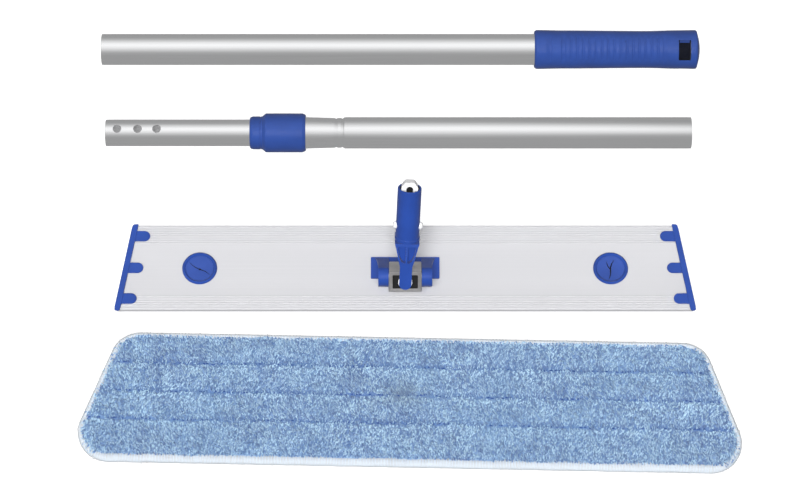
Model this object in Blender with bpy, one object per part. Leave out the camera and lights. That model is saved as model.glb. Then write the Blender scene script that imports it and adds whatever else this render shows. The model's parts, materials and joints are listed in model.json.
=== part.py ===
"""Flat mop, laid out as a kit: a two-length pole, a trapezoid head with its handle joint, and a pad.

Metres, +Z up. The origin is the middle of the bottom of the kit's box. +X runs along the poles and the
head's long edge, and -Y runs from the poles past the head to the pad. The pad lies pile up, and the
handle socket leans back and a little to the right, where the two friction joints hold it.
"""
import math

import bmesh
import bpy
from mathutils import Matrix, Vector
from mathutils.geometry import convex_hull_2d

MM = 0.001
GAP = 0.3 * MM                      # clearance between neighbouring pieces
ROUND = 32                          # sides of a large turned piece
SMALL_ROUND = 16                    # sides of a pin, screw or hole

# Pole tubes
TUBE_R = 16.5 * MM
TUBE_BORE = 15.4 * MM
INNER_R = 14.0 * MM
INNER_BORE = 12.8 * MM

# Upper length of the pole
UPPER_Y = 227.0 * MM
GRIP_R = 20.75 * MM
WAIST_R = 19.5 * MM
UPPER_LEFT = -326.4 * MM
UPPER_RIGHT = 275.5 * MM
GRIP_LEFT = 133.3 * MM
GRIP_RIGHT = 309.3 * MM
GRIP_WAIST = 251.0 * MM
SLOT_LEFT = 286.9 * MM
SLOT_RIGHT = 299.2 * MM
SLOT_ACROSS = 20.0 * MM
SLOT_TILT = math.radians(25.0)      # the slot leans this far from upright, towards -Y

# Lower length of the pole
LOWER_Y = 127.7 * MM
COLLAR_R = 20.5 * MM
NOSE_R = 17.25 * MM
LOWER_LEFT = -146.0 * MM
LOWER_RIGHT = 296.5 * MM
COLLAR_LEFT = -167.2 * MM
COLLAR_STEP = -153.0 * MM
COLLAR_RIGHT = -108.5 * MM
CRIMP_LEFT = -76.5 * MM
CRIMP_RIGHT = -69.2 * MM
CRIMP_R = 15.0 * MM
INNER_LEFT = -318.6 * MM
INNER_RIGHT = 113.3 * MM
HOLE_R = 4.5 * MM
HOLE_STEPS = (12.6 * MM, 34.1 * MM, 54.1 * MM)
HOLE_TILT = math.radians(8.0)
WEDGE_R = 15.6 * MM
POCKET_R = 15.9 * MM               # the room for the wedge inside the collar's nose
SLEEVE_R = 18.0 * MM
CAVITY_R = 18.3 * MM
BUSH_R = 15.1 * MM
SPIGOT_LENGTH = 79.5 * MM

# Head plate
HEAD_X = -4.2 * MM
PLATE_FRONT = -70.0 * MM
PLATE_BACK = 26.0 * MM
HALF_FRONT = 300.0 * MM             # half the head's length at its front edge, caps included
HALF_BACK = 284.0 * MM
PLATE_LOW = 2.0 * MM
PLATE_TOP = 7.6 * MM
RIB_HEIGHT = 0.4 * MM
RIB_WIDTH = 1.1 * MM
RIB_PITCH = 2.6 * MM
REAR_RIBS = 8
FRONT_RIBS = 6
RIB_INSET = 2.2 * MM
WALL = 1.2 * MM
CELLS = 4

# End caps
CAP_WALL = 2.2 * MM
CAP_BAR = 6.4 * MM
CAP_TOP = 10.0 * MM
CAP_LOW = 0.6 * MM
CAP_OVERHANG = 1.6 * MM
FINGER_REACH = 19.0 * MM
FINGER_HALF = 6.1 * MM
FINGER_STEPS = (-36.0 * MM, 0.0, 35.0 * MM)

# Cloth grippers and hook strips
GRIPPER_STEP = 212.8 * MM
GRIPPER_Y = -23.5 * MM
GRIPPER_R = 18.1 * MM
GRIPPER_HOLE = 15.8 * MM
STRIP_TOP = 1.7 * MM
STRIP_WIDTH = 22.0 * MM
STRIP_INSET = 4.0 * MM
STRIP_END = 26.0 * MM

# Handle joint: the tilt axis runs along X, the swivel axis along the block's own Y
PIVOT = Vector((HEAD_X, -41.2 * MM, 27.0 * MM))
TILT_BACK = math.radians(37.0)
LEAN_RIGHT = math.radians(2.5)
BRACKET_HALF = 35.5 * MM
BRACKET_FRONT = -35.4 * MM
BRACKET_BACK = -11.5 * MM
BRACKET_LOW = 8.3 * MM
BRACKET_TOP = 10.6 * MM
NOTCH_HALF = 9.0 * MM
NOTCH_BACK = -31.5 * MM             # the base is notched here, where the rear prong swings past
EAR_INNER = 17.0 * MM
EAR_OUTER = 27.7 * MM
EAR_R = 10.0 * MM
EAR_FOOT = -44.4 * MM
PIN_R = 3.0 * MM
PIN_HOLE = PIN_R + GAP
SCREW_X = 22.3 * MM
SCREW_YS = (-17.0 * MM, -32.0 * MM)
SCREW_R = 2.0 * MM
SCREW_HEAD_R = 3.8 * MM
SCREW_TIP = 12.0 * MM
BLOCK_X = 16.5 * MM
BLOCK_Y = 11.85 * MM
BLOCK_Z = 11.1 * MM
WINDOW_X = 13.0 * MM
WINDOW_Z = 7.8 * MM
WINDOW_DEPTH = 7.5 * MM
BOSS_R = 7.3 * MM
WASHER = 0.8 * MM

# Handle socket, measured along its own axis from the swivel pin
PRONG_IN = BLOCK_Y + WASHER + 2 * GAP
PRONG_OUT = PRONG_IN + 4.15 * MM
PRONG_R = 6.2 * MM
CROTCH = 20.0 * MM
SHOULDER_LOW = 43.5 * MM
SHOULDER_TOP = 47.5 * MM
SHOULDER_R = 13.0 * MM
SPIGOT_R = 12.2 * MM
SPIGOT_BORE = 10.2 * MM
RIM = 102.7 * MM
BUTTON_AT = 59.8 * MM
BUTTON_R = 4.0 * MM
BUTTON_TIP = 15.2 * MM
CLIP_OUT = 8.4 * MM
CLIP_IN = 3.5 * MM
CLIP_DEPTH = 4.15 * MM
CLIP_TOP = RIM + 7.5 * MM
CLIP_HINGE = 96.35 * MM
CLIP_FOOT = 54.0 * MM

# Pad
PAD_PLACE = Vector((0.9 * MM, -170.8 * MM, 0.0))
PAD_TURN = math.radians(-1.2)
PAD_DEPTH = 141.0 * MM
PAD_HALF_BACK = 299.0 * MM
PAD_HALF_FRONT = 350.0 * MM
PAD_CORNERS = (30.0 * MM, 32.0 * MM)  # radius at the back, at the front
BINDING = 5.0 * MM
BACKING_TOP = 1.6 * MM
CORE_TOP = 4.6 * MM
PILE_TOP = 11.0 * MM
BINDING_LEVELS = (0.4 * MM, 7.5 * MM)
SEAMS = (-24.5 * MM, 6.2 * MM, 37.4 * MM)
SEAM_HALF = 2.6 * MM
SEAM_DEPTH = 4.2 * MM


# ---------------------------------------------------------------- shapes

def finished(shape):
    """Turns every face of a closed shape outwards and returns it."""
    bmesh.ops.recalc_face_normals(shape, faces=shape.faces)
    return shape


def prism(outline, low, high):
    """A flat outline in X and Y, filled and raised from one Z to another."""
    shape = bmesh.new()
    face = shape.faces.new([shape.verts.new((x, y, low)) for x, y in outline])
    grown = bmesh.ops.extrude_face_region(shape, geom=[face])
    raised = [item for item in grown["geom"] if isinstance(item, bmesh.types.BMVert)]
    bmesh.ops.translate(shape, verts=raised, vec=(0.0, 0.0, high - low))
    return finished(shape)


def prism_along_x(outline, low, high):
    """As prism, for an outline in Y and Z that runs along X."""
    shape = prism(outline, low, high)
    shape.transform(Matrix(((0, 0, 1, 0), (1, 0, 0, 0), (0, 1, 0, 0), (0, 0, 0, 1))))
    return finished(shape)


def prism_along_y(outline, low, high):
    """As prism, for an outline in X and Z that runs along Y."""
    shape = prism(outline, low, high)
    shape.transform(Matrix(((1, 0, 0, 0), (0, 0, 1, 0), (0, 1, 0, 0), (0, 0, 0, 1))))
    return finished(shape)


def rectangle(x_low, x_high, y_low, y_high):
    return [(x_low, y_low), (x_high, y_low), (x_high, y_high), (x_low, y_high)]


def arc(centre, radius, start, stop, steps):
    """Points along an arc, with its angles in degrees."""
    turns = [math.radians(start + (stop - start) * step / steps) for step in range(steps + 1)]
    return [(centre[0] + radius * math.cos(t), centre[1] + radius * math.sin(t)) for t in turns]


def turned(profile, sides=ROUND):
    """A profile of (X, radius) points turned about the X axis; it closes itself off the axis."""
    shape = bmesh.new()
    points = [shape.verts.new((x, 0.0, radius)) for x, radius in profile]
    edges = [shape.edges.new(pair) for pair in zip(points, points[1:])]
    if profile[0][1] > 0.0:
        edges.append(shape.edges.new((points[-1], points[0])))
    bmesh.ops.spin(shape, geom=points + edges, axis=(1.0, 0.0, 0.0), cent=(0.0, 0.0, 0.0),
                   angle=math.tau, steps=sides)
    bmesh.ops.remove_doubles(shape, verts=shape.verts, dist=0.01 * MM)
    return finished(shape)


def rod(radius, low, high, sides=SMALL_ROUND):
    return turned([(low, 0.0), (low, radius), (high, radius), (high, 0.0)], sides)


def upright(shape):
    """Stands a shape that was made along X up along Z."""
    shape.transform(Matrix.Rotation(-math.pi / 2, 4, "Y"))
    return shape


def crosswise(shape):
    """Turns a shape that was made along X to lie along Y."""
    shape.transform(Matrix.Rotation(math.pi / 2, 4, "Z"))
    return shape


def moved(shape, x=0.0, y=0.0, z=0.0):
    bmesh.ops.translate(shape, verts=shape.verts, vec=(x, y, z))
    return shape


def mirrored(shape):
    """The same shape on the other side of X = 0."""
    shape.transform(Matrix.Scale(-1.0, 4, (1.0, 0.0, 0.0)))
    bmesh.ops.reverse_faces(shape, faces=shape.faces)
    return shape


def as_object(name, shape):
    mesh = bpy.data.meshes.new(name)
    shape.to_mesh(mesh)
    shape.free()
    thing = bpy.data.objects.new(name, mesh)
    bpy.context.collection.objects.link(thing)
    return thing


def combined(base, tool, operation):
    """One exact Boolean of two shapes; both are used up."""
    body = as_object("body", base)
    helper = as_object("helper", tool)
    change = body.modifiers.new("change", "BOOLEAN")
    change.operation = operation
    change.solver = "EXACT"
    change.object = helper
    result = bmesh.new()
    result.from_object(body, bpy.context.evaluated_depsgraph_get())
    for thing in (body, helper):
        bpy.data.objects.remove(thing, do_unlink=True)
    return result


def joined(base, *tools):
    for tool in tools:
        base = combined(base, tool, "UNION")
    return base


def cut(base, *tools):
    for tool in tools:
        base = combined(base, tool, "DIFFERENCE")
    return base


# ---------------------------------------------------------------- materials and placing

def material(name, colour, roughness, metallic=0.0):
    """A plain Principled material with its colour in linear values."""
    made = bpy.data.materials.new(name)
    made.use_nodes = True
    shader = made.node_tree.nodes["Principled BSDF"]
    shader.inputs["Base Color"].default_value = (*colour, 1.0)
    shader.inputs["Roughness"].default_value = roughness
    shader.inputs["Metallic"].default_value = metallic
    return made


def axis_empty(name, location, rotation=(0.0, 0.0, 0.0), parent=None):
    """An empty on a joint's axis, which the moving pieces hang on."""
    empty = bpy.data.objects.new(name, None)
    bpy.context.collection.objects.link(empty)
    empty.empty_display_size = 10 * MM
    empty.location = location
    empty.rotation_euler = rotation
    empty.parent = parent
    return empty


def place(name, shape, look, parent=None, location=(0.0, 0.0, 0.0)):
    """Adds one named piece of the mop, smooth on its round sides."""
    thing = as_object(name, shape)
    thing.data.materials.append(look)
    thing.data.shade_smooth()
    thing.data.set_sharp_from_angle(angle=math.radians(35.0))
    thing.parent = parent
    thing.location = location
    return thing


# ---------------------------------------------------------------- upper length of the pole

def upper_tube():
    return turned([(UPPER_LEFT, TUBE_BORE), (UPPER_LEFT, TUBE_R), (UPPER_RIGHT, TUBE_R), (UPPER_RIGHT, TUBE_BORE)])


def hand_grip():
    """A waisted sleeve with a flared rim, a domed end and a slot to hang the mop by."""
    bore = TUBE_R + GAP
    bore_end = UPPER_RIGHT + 2 * GAP
    dome = arc((GRIP_RIGHT - 7 * MM, GRIP_R - 7 * MM), 7 * MM, 90.0, 20.0, 4)
    profile = [(bore_end, 0.0), (bore_end, bore), (GRIP_LEFT, bore), (GRIP_LEFT, GRIP_R - 1.4 * MM)]
    profile += [(GRIP_LEFT + 2 * MM, GRIP_R), (GRIP_LEFT + 32 * MM, GRIP_R - 0.65 * MM)]
    profile += [(GRIP_WAIST, WAIST_R), (SLOT_LEFT, GRIP_R - 0.35 * MM)]
    profile += dome + [(GRIP_RIGHT, 0.0)]
    slot = prism(rectangle(SLOT_LEFT, SLOT_RIGHT, -SLOT_ACROSS / 2, SLOT_ACROSS / 2), -30 * MM, 30 * MM)
    slot.transform(Matrix.Rotation(SLOT_TILT, 4, "X"))
    return cut(turned(profile), slot)


# ---------------------------------------------------------------- lower length of the pole

def lower_outer_tube():
    """The main tube with its narrowed neck and the crimp that stops the inner tube's bush."""
    ease = 1.5 * MM
    crimp_bore = CRIMP_R - 0.6 * MM
    outside = [(LOWER_LEFT, TUBE_R), (COLLAR_RIGHT, TUBE_R), (CRIMP_LEFT - ease, TUBE_R - 0.8 * MM)]
    outside += [(CRIMP_LEFT, CRIMP_R), (CRIMP_RIGHT, CRIMP_R), (CRIMP_RIGHT + ease, TUBE_R)]
    outside += [(LOWER_RIGHT, TUBE_R)]
    inside = [(LOWER_RIGHT, TUBE_BORE), (CRIMP_RIGHT + 2 * ease, TUBE_BORE), (CRIMP_RIGHT + ease, crimp_bore)]
    inside += [(CRIMP_LEFT - ease, crimp_bore), (COLLAR_RIGHT, TUBE_BORE), (LOWER_LEFT, TUBE_BORE)]
    return turned(outside + inside)


def lock_sleeve():
    """The lined mouth of the outer tube, which the collar turns on."""
    left = LOWER_LEFT - 5.2 * MM
    shelf = LOWER_LEFT - GAP
    right = COLLAR_RIGHT - 1.5 * MM
    lining = INNER_R + GAP
    profile = [(left, lining), (shelf, lining), (shelf, TUBE_R + GAP), (right, TUBE_R + GAP)]
    return turned(profile + [(right, SLEEVE_R), (left, SLEEVE_R)])


def grip_wedge():
    """A split ring that the collar squeezes onto the inner tube."""
    right = LOWER_LEFT - 5.5 * MM
    left = right - 8.7 * MM
    bore = INNER_R + GAP
    profile = [(left, bore), (right, bore), (right, WEDGE_R), (left + 2 * MM, WEDGE_R), (left, WEDGE_R - 0.7 * MM)]
    slit = prism(rectangle(left - MM, right + MM, -MM, MM), bore / 2, WEDGE_R + MM)
    return cut(turned(profile), slit)


def lock_collar():
    """The turning collar: a plain nose and a wider part with bevelled edges."""
    edge = 1.3 * MM
    pocket = LOWER_LEFT - 14.5 * MM
    cavity = LOWER_LEFT - 5.6 * MM
    bore = INNER_R + GAP
    profile = [(COLLAR_LEFT, bore), (pocket, bore), (pocket, POCKET_R), (cavity, POCKET_R), (cavity, CAVITY_R)]
    profile += [(COLLAR_RIGHT, CAVITY_R)]
    profile += [(COLLAR_RIGHT, COLLAR_R - edge), (COLLAR_RIGHT - edge, COLLAR_R)]
    profile += [(COLLAR_STEP + edge, COLLAR_R), (COLLAR_STEP, COLLAR_R - edge), (COLLAR_STEP, NOSE_R)]
    profile += [(COLLAR_LEFT + edge / 2, NOSE_R), (COLLAR_LEFT, NOSE_R - edge / 2)]
    return turned(profile)


def inner_tube():
    tube = turned([(INNER_LEFT, INNER_BORE), (INNER_LEFT, INNER_R), (INNER_RIGHT, INNER_R), (INNER_RIGHT, INNER_BORE)])
    for step in HOLE_STEPS:
        drill = upright(rod(HOLE_R, -20 * MM, 20 * MM))
        drill.transform(Matrix.Rotation(HOLE_TILT, 4, "X"))
        tube = cut(tube, moved(drill, x=INNER_LEFT + step))
    return tube


def inner_tube_bush():
    """A stepped plastic ring that guides the inner tube's hidden end in the outer one."""
    seat = INNER_RIGHT + GAP
    plug = INNER_BORE - GAP
    left = seat - 12 * MM
    right = seat + 8 * MM
    bore = plug - 2 * MM
    return turned([(left, bore), (right, bore), (right, BUSH_R), (seat, BUSH_R), (seat, plug), (left, plug)])


def joining_spigot():
    right = LOWER_RIGHT - 0.5 * MM
    left = right - SPIGOT_LENGTH
    return turned([(left, BUSH_R - 2.6 * MM), (left, BUSH_R), (right, BUSH_R), (right, BUSH_R - 2.6 * MM)])


# ---------------------------------------------------------------- head

def half_length(y):
    """Half the head's length at a place between its back and its longer front edge."""
    share = (y - PLATE_FRONT) / (PLATE_BACK - PLATE_FRONT)
    return HALF_FRONT + (HALF_BACK - HALF_FRONT) * share


def slanted(y_low, y_high, inset):
    """A strip across the head whose ends follow the head's slanted ends."""
    low = half_length(y_low) - inset
    high = half_length(y_high) - inset
    return [(-low, y_low), (low, y_low), (high, y_high), (-high, y_high)]


def ribbed_top():
    """The plate's upper outline from front to back, with a group of low ribs near each edge."""
    def group(first, count):
        points = []
        for rib in range(count):
            middle = first + rib * RIB_PITCH
            for side, level in ((-1.0, 0.0), (-0.5, RIB_HEIGHT), (0.5, RIB_HEIGHT), (1.0, 0.0)):
                points.append((middle + side * RIB_WIDTH / 2, PLATE_TOP + level))
        return points
    front = group(PLATE_FRONT + RIB_INSET, FRONT_RIBS)
    rear = group(PLATE_BACK - RIB_INSET - (REAR_RIBS - 1) * RIB_PITCH, REAR_RIBS)
    return [(PLATE_FRONT, PLATE_TOP)] + front + rear + [(PLATE_BACK, PLATE_TOP)]


def frame_plate():
    """A hollow extrusion with slanted ends, holes for the grippers and seats for the screws."""
    reach = HALF_FRONT + 10 * MM
    profile = [(PLATE_BACK, PLATE_LOW), (PLATE_FRONT, PLATE_LOW)] + ribbed_top()
    plate = prism_along_x(profile, -reach, reach)
    ends = prism(slanted(PLATE_FRONT - MM, PLATE_BACK + MM, CAP_WALL + GAP), 0.0, CAP_TOP)
    plate = combined(plate, ends, "INTERSECT")
    cell = (PLATE_BACK - PLATE_FRONT - WALL) / CELLS
    for number in range(CELLS):
        low = PLATE_FRONT + WALL + number * cell
        hollow = rectangle(low, low + cell - WALL, PLATE_LOW + WALL, PLATE_TOP - WALL)
        plate = cut(plate, prism_along_x(hollow, -reach, reach))
    for side in (-1, 1):
        hole = upright(rod(GRIPPER_HOLE, 0.0, CAP_TOP, ROUND))
        plate = cut(plate, moved(hole, x=side * GRIPPER_STEP, y=GRIPPER_Y))
        for y in SCREW_YS:
            access = upright(rod(SCREW_HEAD_R + GAP, 0.0, PLATE_TOP - 2 * WALL))
            shank = upright(rod(SCREW_R + GAP, 0.0, CAP_TOP))
            plate = cut(plate, moved(access, x=side * SCREW_X, y=y), moved(shank, x=side * SCREW_X, y=y))
    return plate


def end_cap():
    """The right end cap: a bar along the slanted end, an outer wall and three fingers on the plate."""
    front = PLATE_FRONT - CAP_OVERHANG
    back = PLATE_BACK + 0.6 * MM
    corner = 2.0 * MM
    outline = [(half_length(front) - CAP_BAR + corner, front), (half_length(front) - corner, front)]
    outline += [(half_length(front + corner), front + corner), (half_length(back), back)]
    outline += [(half_length(back) - CAP_BAR, back)]
    for step in reversed(FINGER_STEPS):
        middle = (PLATE_FRONT + PLATE_BACK) / 2 + step
        tip = half_length(middle) - FINGER_REACH + FINGER_HALF
        outline.append((half_length(middle + FINGER_HALF) - CAP_BAR, middle + FINGER_HALF))
        outline += arc((tip, middle), FINGER_HALF, 90.0, 270.0, 8)
        outline.append((half_length(middle - FINGER_HALF) - CAP_BAR, middle - FINGER_HALF))
    outline.append((half_length(front + corner) - CAP_BAR, front + corner))
    top = prism(outline, PLATE_TOP + RIB_HEIGHT + GAP, CAP_TOP)
    wall = [(half_length(front + corner), front + corner), (half_length(back), back)]
    wall += [(half_length(back) - CAP_WALL, back), (half_length(front + corner) - CAP_WALL, front + corner)]
    return joined(top, prism(wall, CAP_LOW, CAP_TOP - 0.5 * MM))


def gripper_rim():
    """The raised ring of a cloth gripper, with the barrel that passes through the plate."""
    low = PLATE_LOW + 0.4 * MM
    seat = PLATE_TOP + RIB_HEIGHT + GAP
    barrel = GRIPPER_HOLE - GAP
    profile = [(low, barrel - 1.4 * MM), (low, barrel), (seat, barrel), (seat, GRIPPER_R)]
    profile += [(seat + 1.0 * MM, GRIPPER_R), (seat + 2.3 * MM, GRIPPER_R - 1.6 * MM)]
    profile += [(seat + 2.3 * MM, GRIPPER_R - 3.0 * MM), (seat + 1.2 * MM, barrel - 1.4 * MM)]
    return upright(turned(profile))


def gripper_flaps(slit_turns, slit_length, centre_hole):
    """A dished rubber disc whose slits let a finger push the cloth's edge in."""
    radius = GRIPPER_HOLE - 2 * GAP - 1.4 * MM
    rim = PLATE_TOP + 0.6 * MM
    dip = rim - 1.8 * MM
    thick = 1.1 * MM
    profile = [(dip - thick, 0.0), (dip - thick, 3 * MM), (rim - thick, radius), (rim, radius)]
    disc = upright(turned(profile + [(dip, 3 * MM), (dip, 0.0)]))
    for turn in slit_turns:
        slit = prism(rectangle(-0.2 * MM, slit_length, -0.25 * MM, 0.25 * MM), 0.0, CAP_TOP)
        slit.transform(Matrix.Rotation(math.radians(turn), 4, "Z"))
        disc = cut(disc, slit)
    if centre_hole:
        disc = cut(disc, upright(rod(centre_hole, 0.0, CAP_TOP)))
    return disc


def hook_strip(y_low):
    return prism(slanted(y_low, y_low + STRIP_WIDTH, STRIP_END), 0.0, STRIP_TOP)


def joint_bracket():
    """A base plate with two ears that carry the tilt axis ahead of the base."""
    centre = (PIVOT.y, PIVOT.z)
    points = arc(centre, EAR_R, 0.0, 337.5, 15)
    points += [(BRACKET_BACK - MM, BRACKET_LOW), (BRACKET_BACK - MM, BRACKET_TOP), (EAR_FOOT, BRACKET_LOW)]
    ear = [points[index] for index in convex_hull_2d([Vector(point) for point in points])]
    base = [(-BRACKET_HALF, BRACKET_FRONT), (-NOTCH_HALF, BRACKET_FRONT), (-NOTCH_HALF, NOTCH_BACK)]
    base += [(NOTCH_HALF, NOTCH_BACK), (NOTCH_HALF, BRACKET_FRONT), (BRACKET_HALF, BRACKET_FRONT)]
    base += [(BRACKET_HALF, BRACKET_BACK), (-BRACKET_HALF, BRACKET_BACK)]
    bracket = prism(base, BRACKET_LOW, BRACKET_TOP)
    bracket = joined(bracket, prism_along_x(ear, EAR_INNER, EAR_OUTER), prism_along_x(ear, -EAR_OUTER, -EAR_INNER))
    bracket = cut(bracket, moved(rod(PIN_HOLE, -EAR_OUTER - MM, EAR_OUTER + MM), y=PIVOT.y, z=PIVOT.z))
    for side in (-1, 1):
        for y in SCREW_YS:
            pilot = upright(rod(SCREW_R + GAP, 0.0, SCREW_TIP + 2 * GAP))
            bracket = cut(bracket, moved(pilot, x=side * SCREW_X, y=y))
    return bracket


def bracket_screw():
    top = PLATE_TOP - WALL - GAP
    head = top - 1.8 * MM
    profile = [(head, 0.0), (head, SCREW_HEAD_R - 0.6 * MM), (head + 0.6 * MM, SCREW_HEAD_R), (top, SCREW_HEAD_R)]
    profile += [(top, SCREW_R), (SCREW_TIP - 1.2 * MM, SCREW_R), (SCREW_TIP, 0.6 * MM), (SCREW_TIP, 0.0)]
    return upright(turned(profile, 16))


def tilt_pin():
    """The right stub pin, from the ear into the block's web."""
    return rod(PIN_R, PIN_R + 2.8 * MM, EAR_OUTER - 0.4 * MM)


# ---------------------------------------------------------------- parts that tilt and swivel

def cross_block():
    """A metal block with a window front and back, a boss in each, and crossed pin holes."""
    block = prism(rectangle(-BLOCK_X, BLOCK_X, -BLOCK_Y, BLOCK_Y), -BLOCK_Z, BLOCK_Z)
    floor = BLOCK_Y - WINDOW_DEPTH
    for low, high in ((floor, BLOCK_Y + MM), (-BLOCK_Y - MM, -floor)):
        window = prism_along_y(rectangle(-WINDOW_X, WINDOW_X, -WINDOW_Z, WINDOW_Z), low, high)
        boss = crosswise(rod(BOSS_R, min(low, -BLOCK_Y) - MM, max(high, BLOCK_Y) + MM, ROUND))
        block = cut(block, cut(window, boss))
    swivel_hole = crosswise(rod(PIN_HOLE, -BLOCK_Y - MM, BLOCK_Y + MM))
    tilt_hole = rod(PIN_HOLE, PIN_R + 2.4 * MM, BLOCK_X + MM)
    return cut(block, swivel_hole, tilt_hole, mirrored(rod(PIN_HOLE, PIN_R + 2.4 * MM, BLOCK_X + MM)))


def swivel_washer():
    return crosswise(turned([(0.0, PIN_HOLE), (0.0, BOSS_R), (WASHER, BOSS_R), (WASHER, PIN_HOLE)], 32))


def swivel_pin():
    return crosswise(rod(PIN_R, -PRONG_OUT + MM, PRONG_OUT - MM))


def fork():
    """The socket's lower end: two prongs astride the block, widening into the shoulder."""
    half_front = [(PRONG_R + 0.1 * MM, CROTCH), (8.4 * MM, 26.6 * MM), (9.4 * MM, 32 * MM)]
    half_front += [(11.2 * MM, 41.5 * MM), (12.4 * MM, SHOULDER_LOW + MM)]
    front = arc((0.0, 0.0), PRONG_R, 180.0, 360.0, 12) + half_front + [(-x, z) for x, z in reversed(half_front)]
    low = -PRONG_R - MM
    side = [(PRONG_IN, low), (PRONG_OUT, low), (PRONG_OUT, 27 * MM), (12.6 * MM, SHOULDER_LOW + MM)]
    side += [(-y, z) for y, z in reversed(side)]
    side += [(-PRONG_IN, CROTCH - MM), (-PRONG_IN + MM, CROTCH), (PRONG_IN - MM, CROTCH), (PRONG_IN, CROTCH - MM)]
    return combined(prism_along_x(side, -20 * MM, 20 * MM), prism_along_y(front, -20 * MM, 20 * MM), "INTERSECT")


def handle_socket():
    """The fork, the shoulder that the pole stops on, and the hollow spigot that it slides over."""
    floor = SHOULDER_TOP + 2 * MM
    profile = [(SHOULDER_LOW, 0.0), (SHOULDER_LOW, SHOULDER_R - 0.8 * MM), (SHOULDER_LOW + 0.8 * MM, SHOULDER_R)]
    profile += [(SHOULDER_TOP, SHOULDER_R), (SHOULDER_TOP, SPIGOT_R), (RIM - 0.6 * MM, SPIGOT_R)]
    profile += [(RIM, SPIGOT_R - 0.6 * MM), (RIM, SPIGOT_BORE), (floor, SPIGOT_BORE), (floor, 0.0)]
    spigot = turned(profile)
    socket = joined(fork(), upright(spigot))
    recess = [(1.6 * MM, 25 * MM), (5.4 * MM, 25 * MM), (8.4 * MM, 40 * MM), (1.6 * MM, 40 * MM)]
    for low, high in ((-20 * MM, -10.5 * MM), (10.5 * MM, 20 * MM)):
        socket = cut(socket, prism_along_y(recess, low, high), mirrored(prism_along_y(recess, low, high)))
    pin_hole = crosswise(rod(PIN_HOLE, -PRONG_OUT + 0.7 * MM, PRONG_OUT - 0.7 * MM))
    button_hole = moved(rod(BUTTON_R + 0.7 * MM, -15 * MM, 15 * MM, 24), z=BUTTON_AT)
    return cut(socket, pin_hole, button_hole)


def clip_bend():
    """The arch of the button clip, which stands out of the spigot."""
    corner = 4.2 * MM
    low = CLIP_HINGE + GAP / 2
    outer = [(CLIP_OUT, low)] + arc((CLIP_OUT - corner, CLIP_TOP - corner), corner, 0.0, 90.0, 6)
    outer += arc((corner - CLIP_OUT, CLIP_TOP - corner), corner, 90.0, 180.0, 6) + [(-CLIP_OUT, low)]
    inner = [(-CLIP_IN, low)] + arc((0.0, CLIP_TOP - 3.05 * MM - CLIP_IN), CLIP_IN, 180.0, 0.0, 10) + [(CLIP_IN, low)]
    return prism_along_y(outer + inner, -CLIP_DEPTH, CLIP_DEPTH)


def clip_leg():
    """The right spring leg of the clip, from the bend's end down past its button."""
    slim = CLIP_OUT - 2.5 * MM
    thick = 4.6 * MM
    top = CLIP_HINGE - GAP / 2
    outline = [(CLIP_OUT, CLIP_FOOT), (CLIP_OUT, top), (CLIP_IN, top), (slim, 88 * MM), (slim, BUTTON_AT + 8 * MM)]
    outline += [(thick, BUTTON_AT + 5 * MM), (thick, CLIP_FOOT)]
    leg = prism_along_y(outline, -CLIP_DEPTH, CLIP_DEPTH)
    profile = [(CLIP_OUT - MM, 0.0), (CLIP_OUT - MM, BUTTON_R), (BUTTON_TIP - 1.8 * MM, BUTTON_R)]
    profile += [(BUTTON_TIP - 0.5 * MM, BUTTON_R - 1.3 * MM), (BUTTON_TIP, BUTTON_R - 2.8 * MM), (BUTTON_TIP, 0.0)]
    return joined(leg, moved(turned(profile, 24), z=BUTTON_AT))


# ---------------------------------------------------------------- pad

def pad_outline(inset):
    """The pad's rounded trapezoid, centred on its own middle, drawn in from its edge by an inset."""
    slant = math.atan2(PAD_HALF_FRONT - PAD_HALF_BACK, PAD_DEPTH)
    back = PAD_DEPTH / 2 - inset
    front = -back
    side = inset / math.cos(slant)
    outline = []
    for y, half, radius, start, stop in (
            (front, PAD_HALF_FRONT, PAD_CORNERS[1], -90.0, math.degrees(slant)),
            (back, PAD_HALF_BACK, PAD_CORNERS[0], math.degrees(slant), 90.0)):
        radius = radius - inset
        edge = half - side + (inset if y > 0 else -inset) * math.tan(slant)
        toward = 1.0 if y > 0 else -1.0
        centre_y = y - toward * radius
        edge_there = edge + toward * radius * math.tan(slant)
        outline += arc((edge_there - radius / math.cos(slant), centre_y), radius, start, stop, 7)
    return outline + [(-x, y) for x, y in reversed(outline)]


def pad_binding():
    ring = prism(pad_outline(0.0), *BINDING_LEVELS)
    return cut(ring, prism(pad_outline(BINDING), -MM, PILE_TOP))


def pad_pile():
    """The quilted pile: four channels between three sunk seams."""
    pile = prism(pad_outline(BINDING + GAP), CORE_TOP + GAP, PILE_TOP)
    reach = PAD_HALF_FRONT + 10 * MM
    for seam in SEAMS:
        groove = [(seam - SEAM_HALF, PILE_TOP + MM), (seam - SEAM_HALF, PILE_TOP), (seam, PILE_TOP - SEAM_DEPTH)]
        groove += [(seam + SEAM_HALF, PILE_TOP), (seam + SEAM_HALF, PILE_TOP + MM)]
        pile = cut(pile, prism_along_x(groove, -reach, reach))
    return pile


# ---------------------------------------------------------------- assembly

def build_upper_pole(looks):
    lift = axis_empty("upper_pole_axis", (0.0, UPPER_Y, GRIP_R))
    place("upper_tube", upper_tube(), looks["aluminium"], lift)
    place("hand_grip", hand_grip(), looks["grip"], lift)


def build_lower_pole(looks):
    lift = axis_empty("lower_pole_axis", (0.0, LOWER_Y, COLLAR_R))
    place("lower_outer_tube", lower_outer_tube(), looks["aluminium"], lift)
    place("lock_sleeve", lock_sleeve(), looks["white"], lift)
    place("grip_wedge", grip_wedge(), looks["white"], lift)
    place("lock_collar", lock_collar(), looks["grip"], lift)
    place("inner_tube", inner_tube(), looks["aluminium"], lift)
    place("inner_tube_bush", inner_tube_bush(), looks["white"], lift)
    place("joining_spigot", joining_spigot(), looks["grey"], lift)


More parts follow.
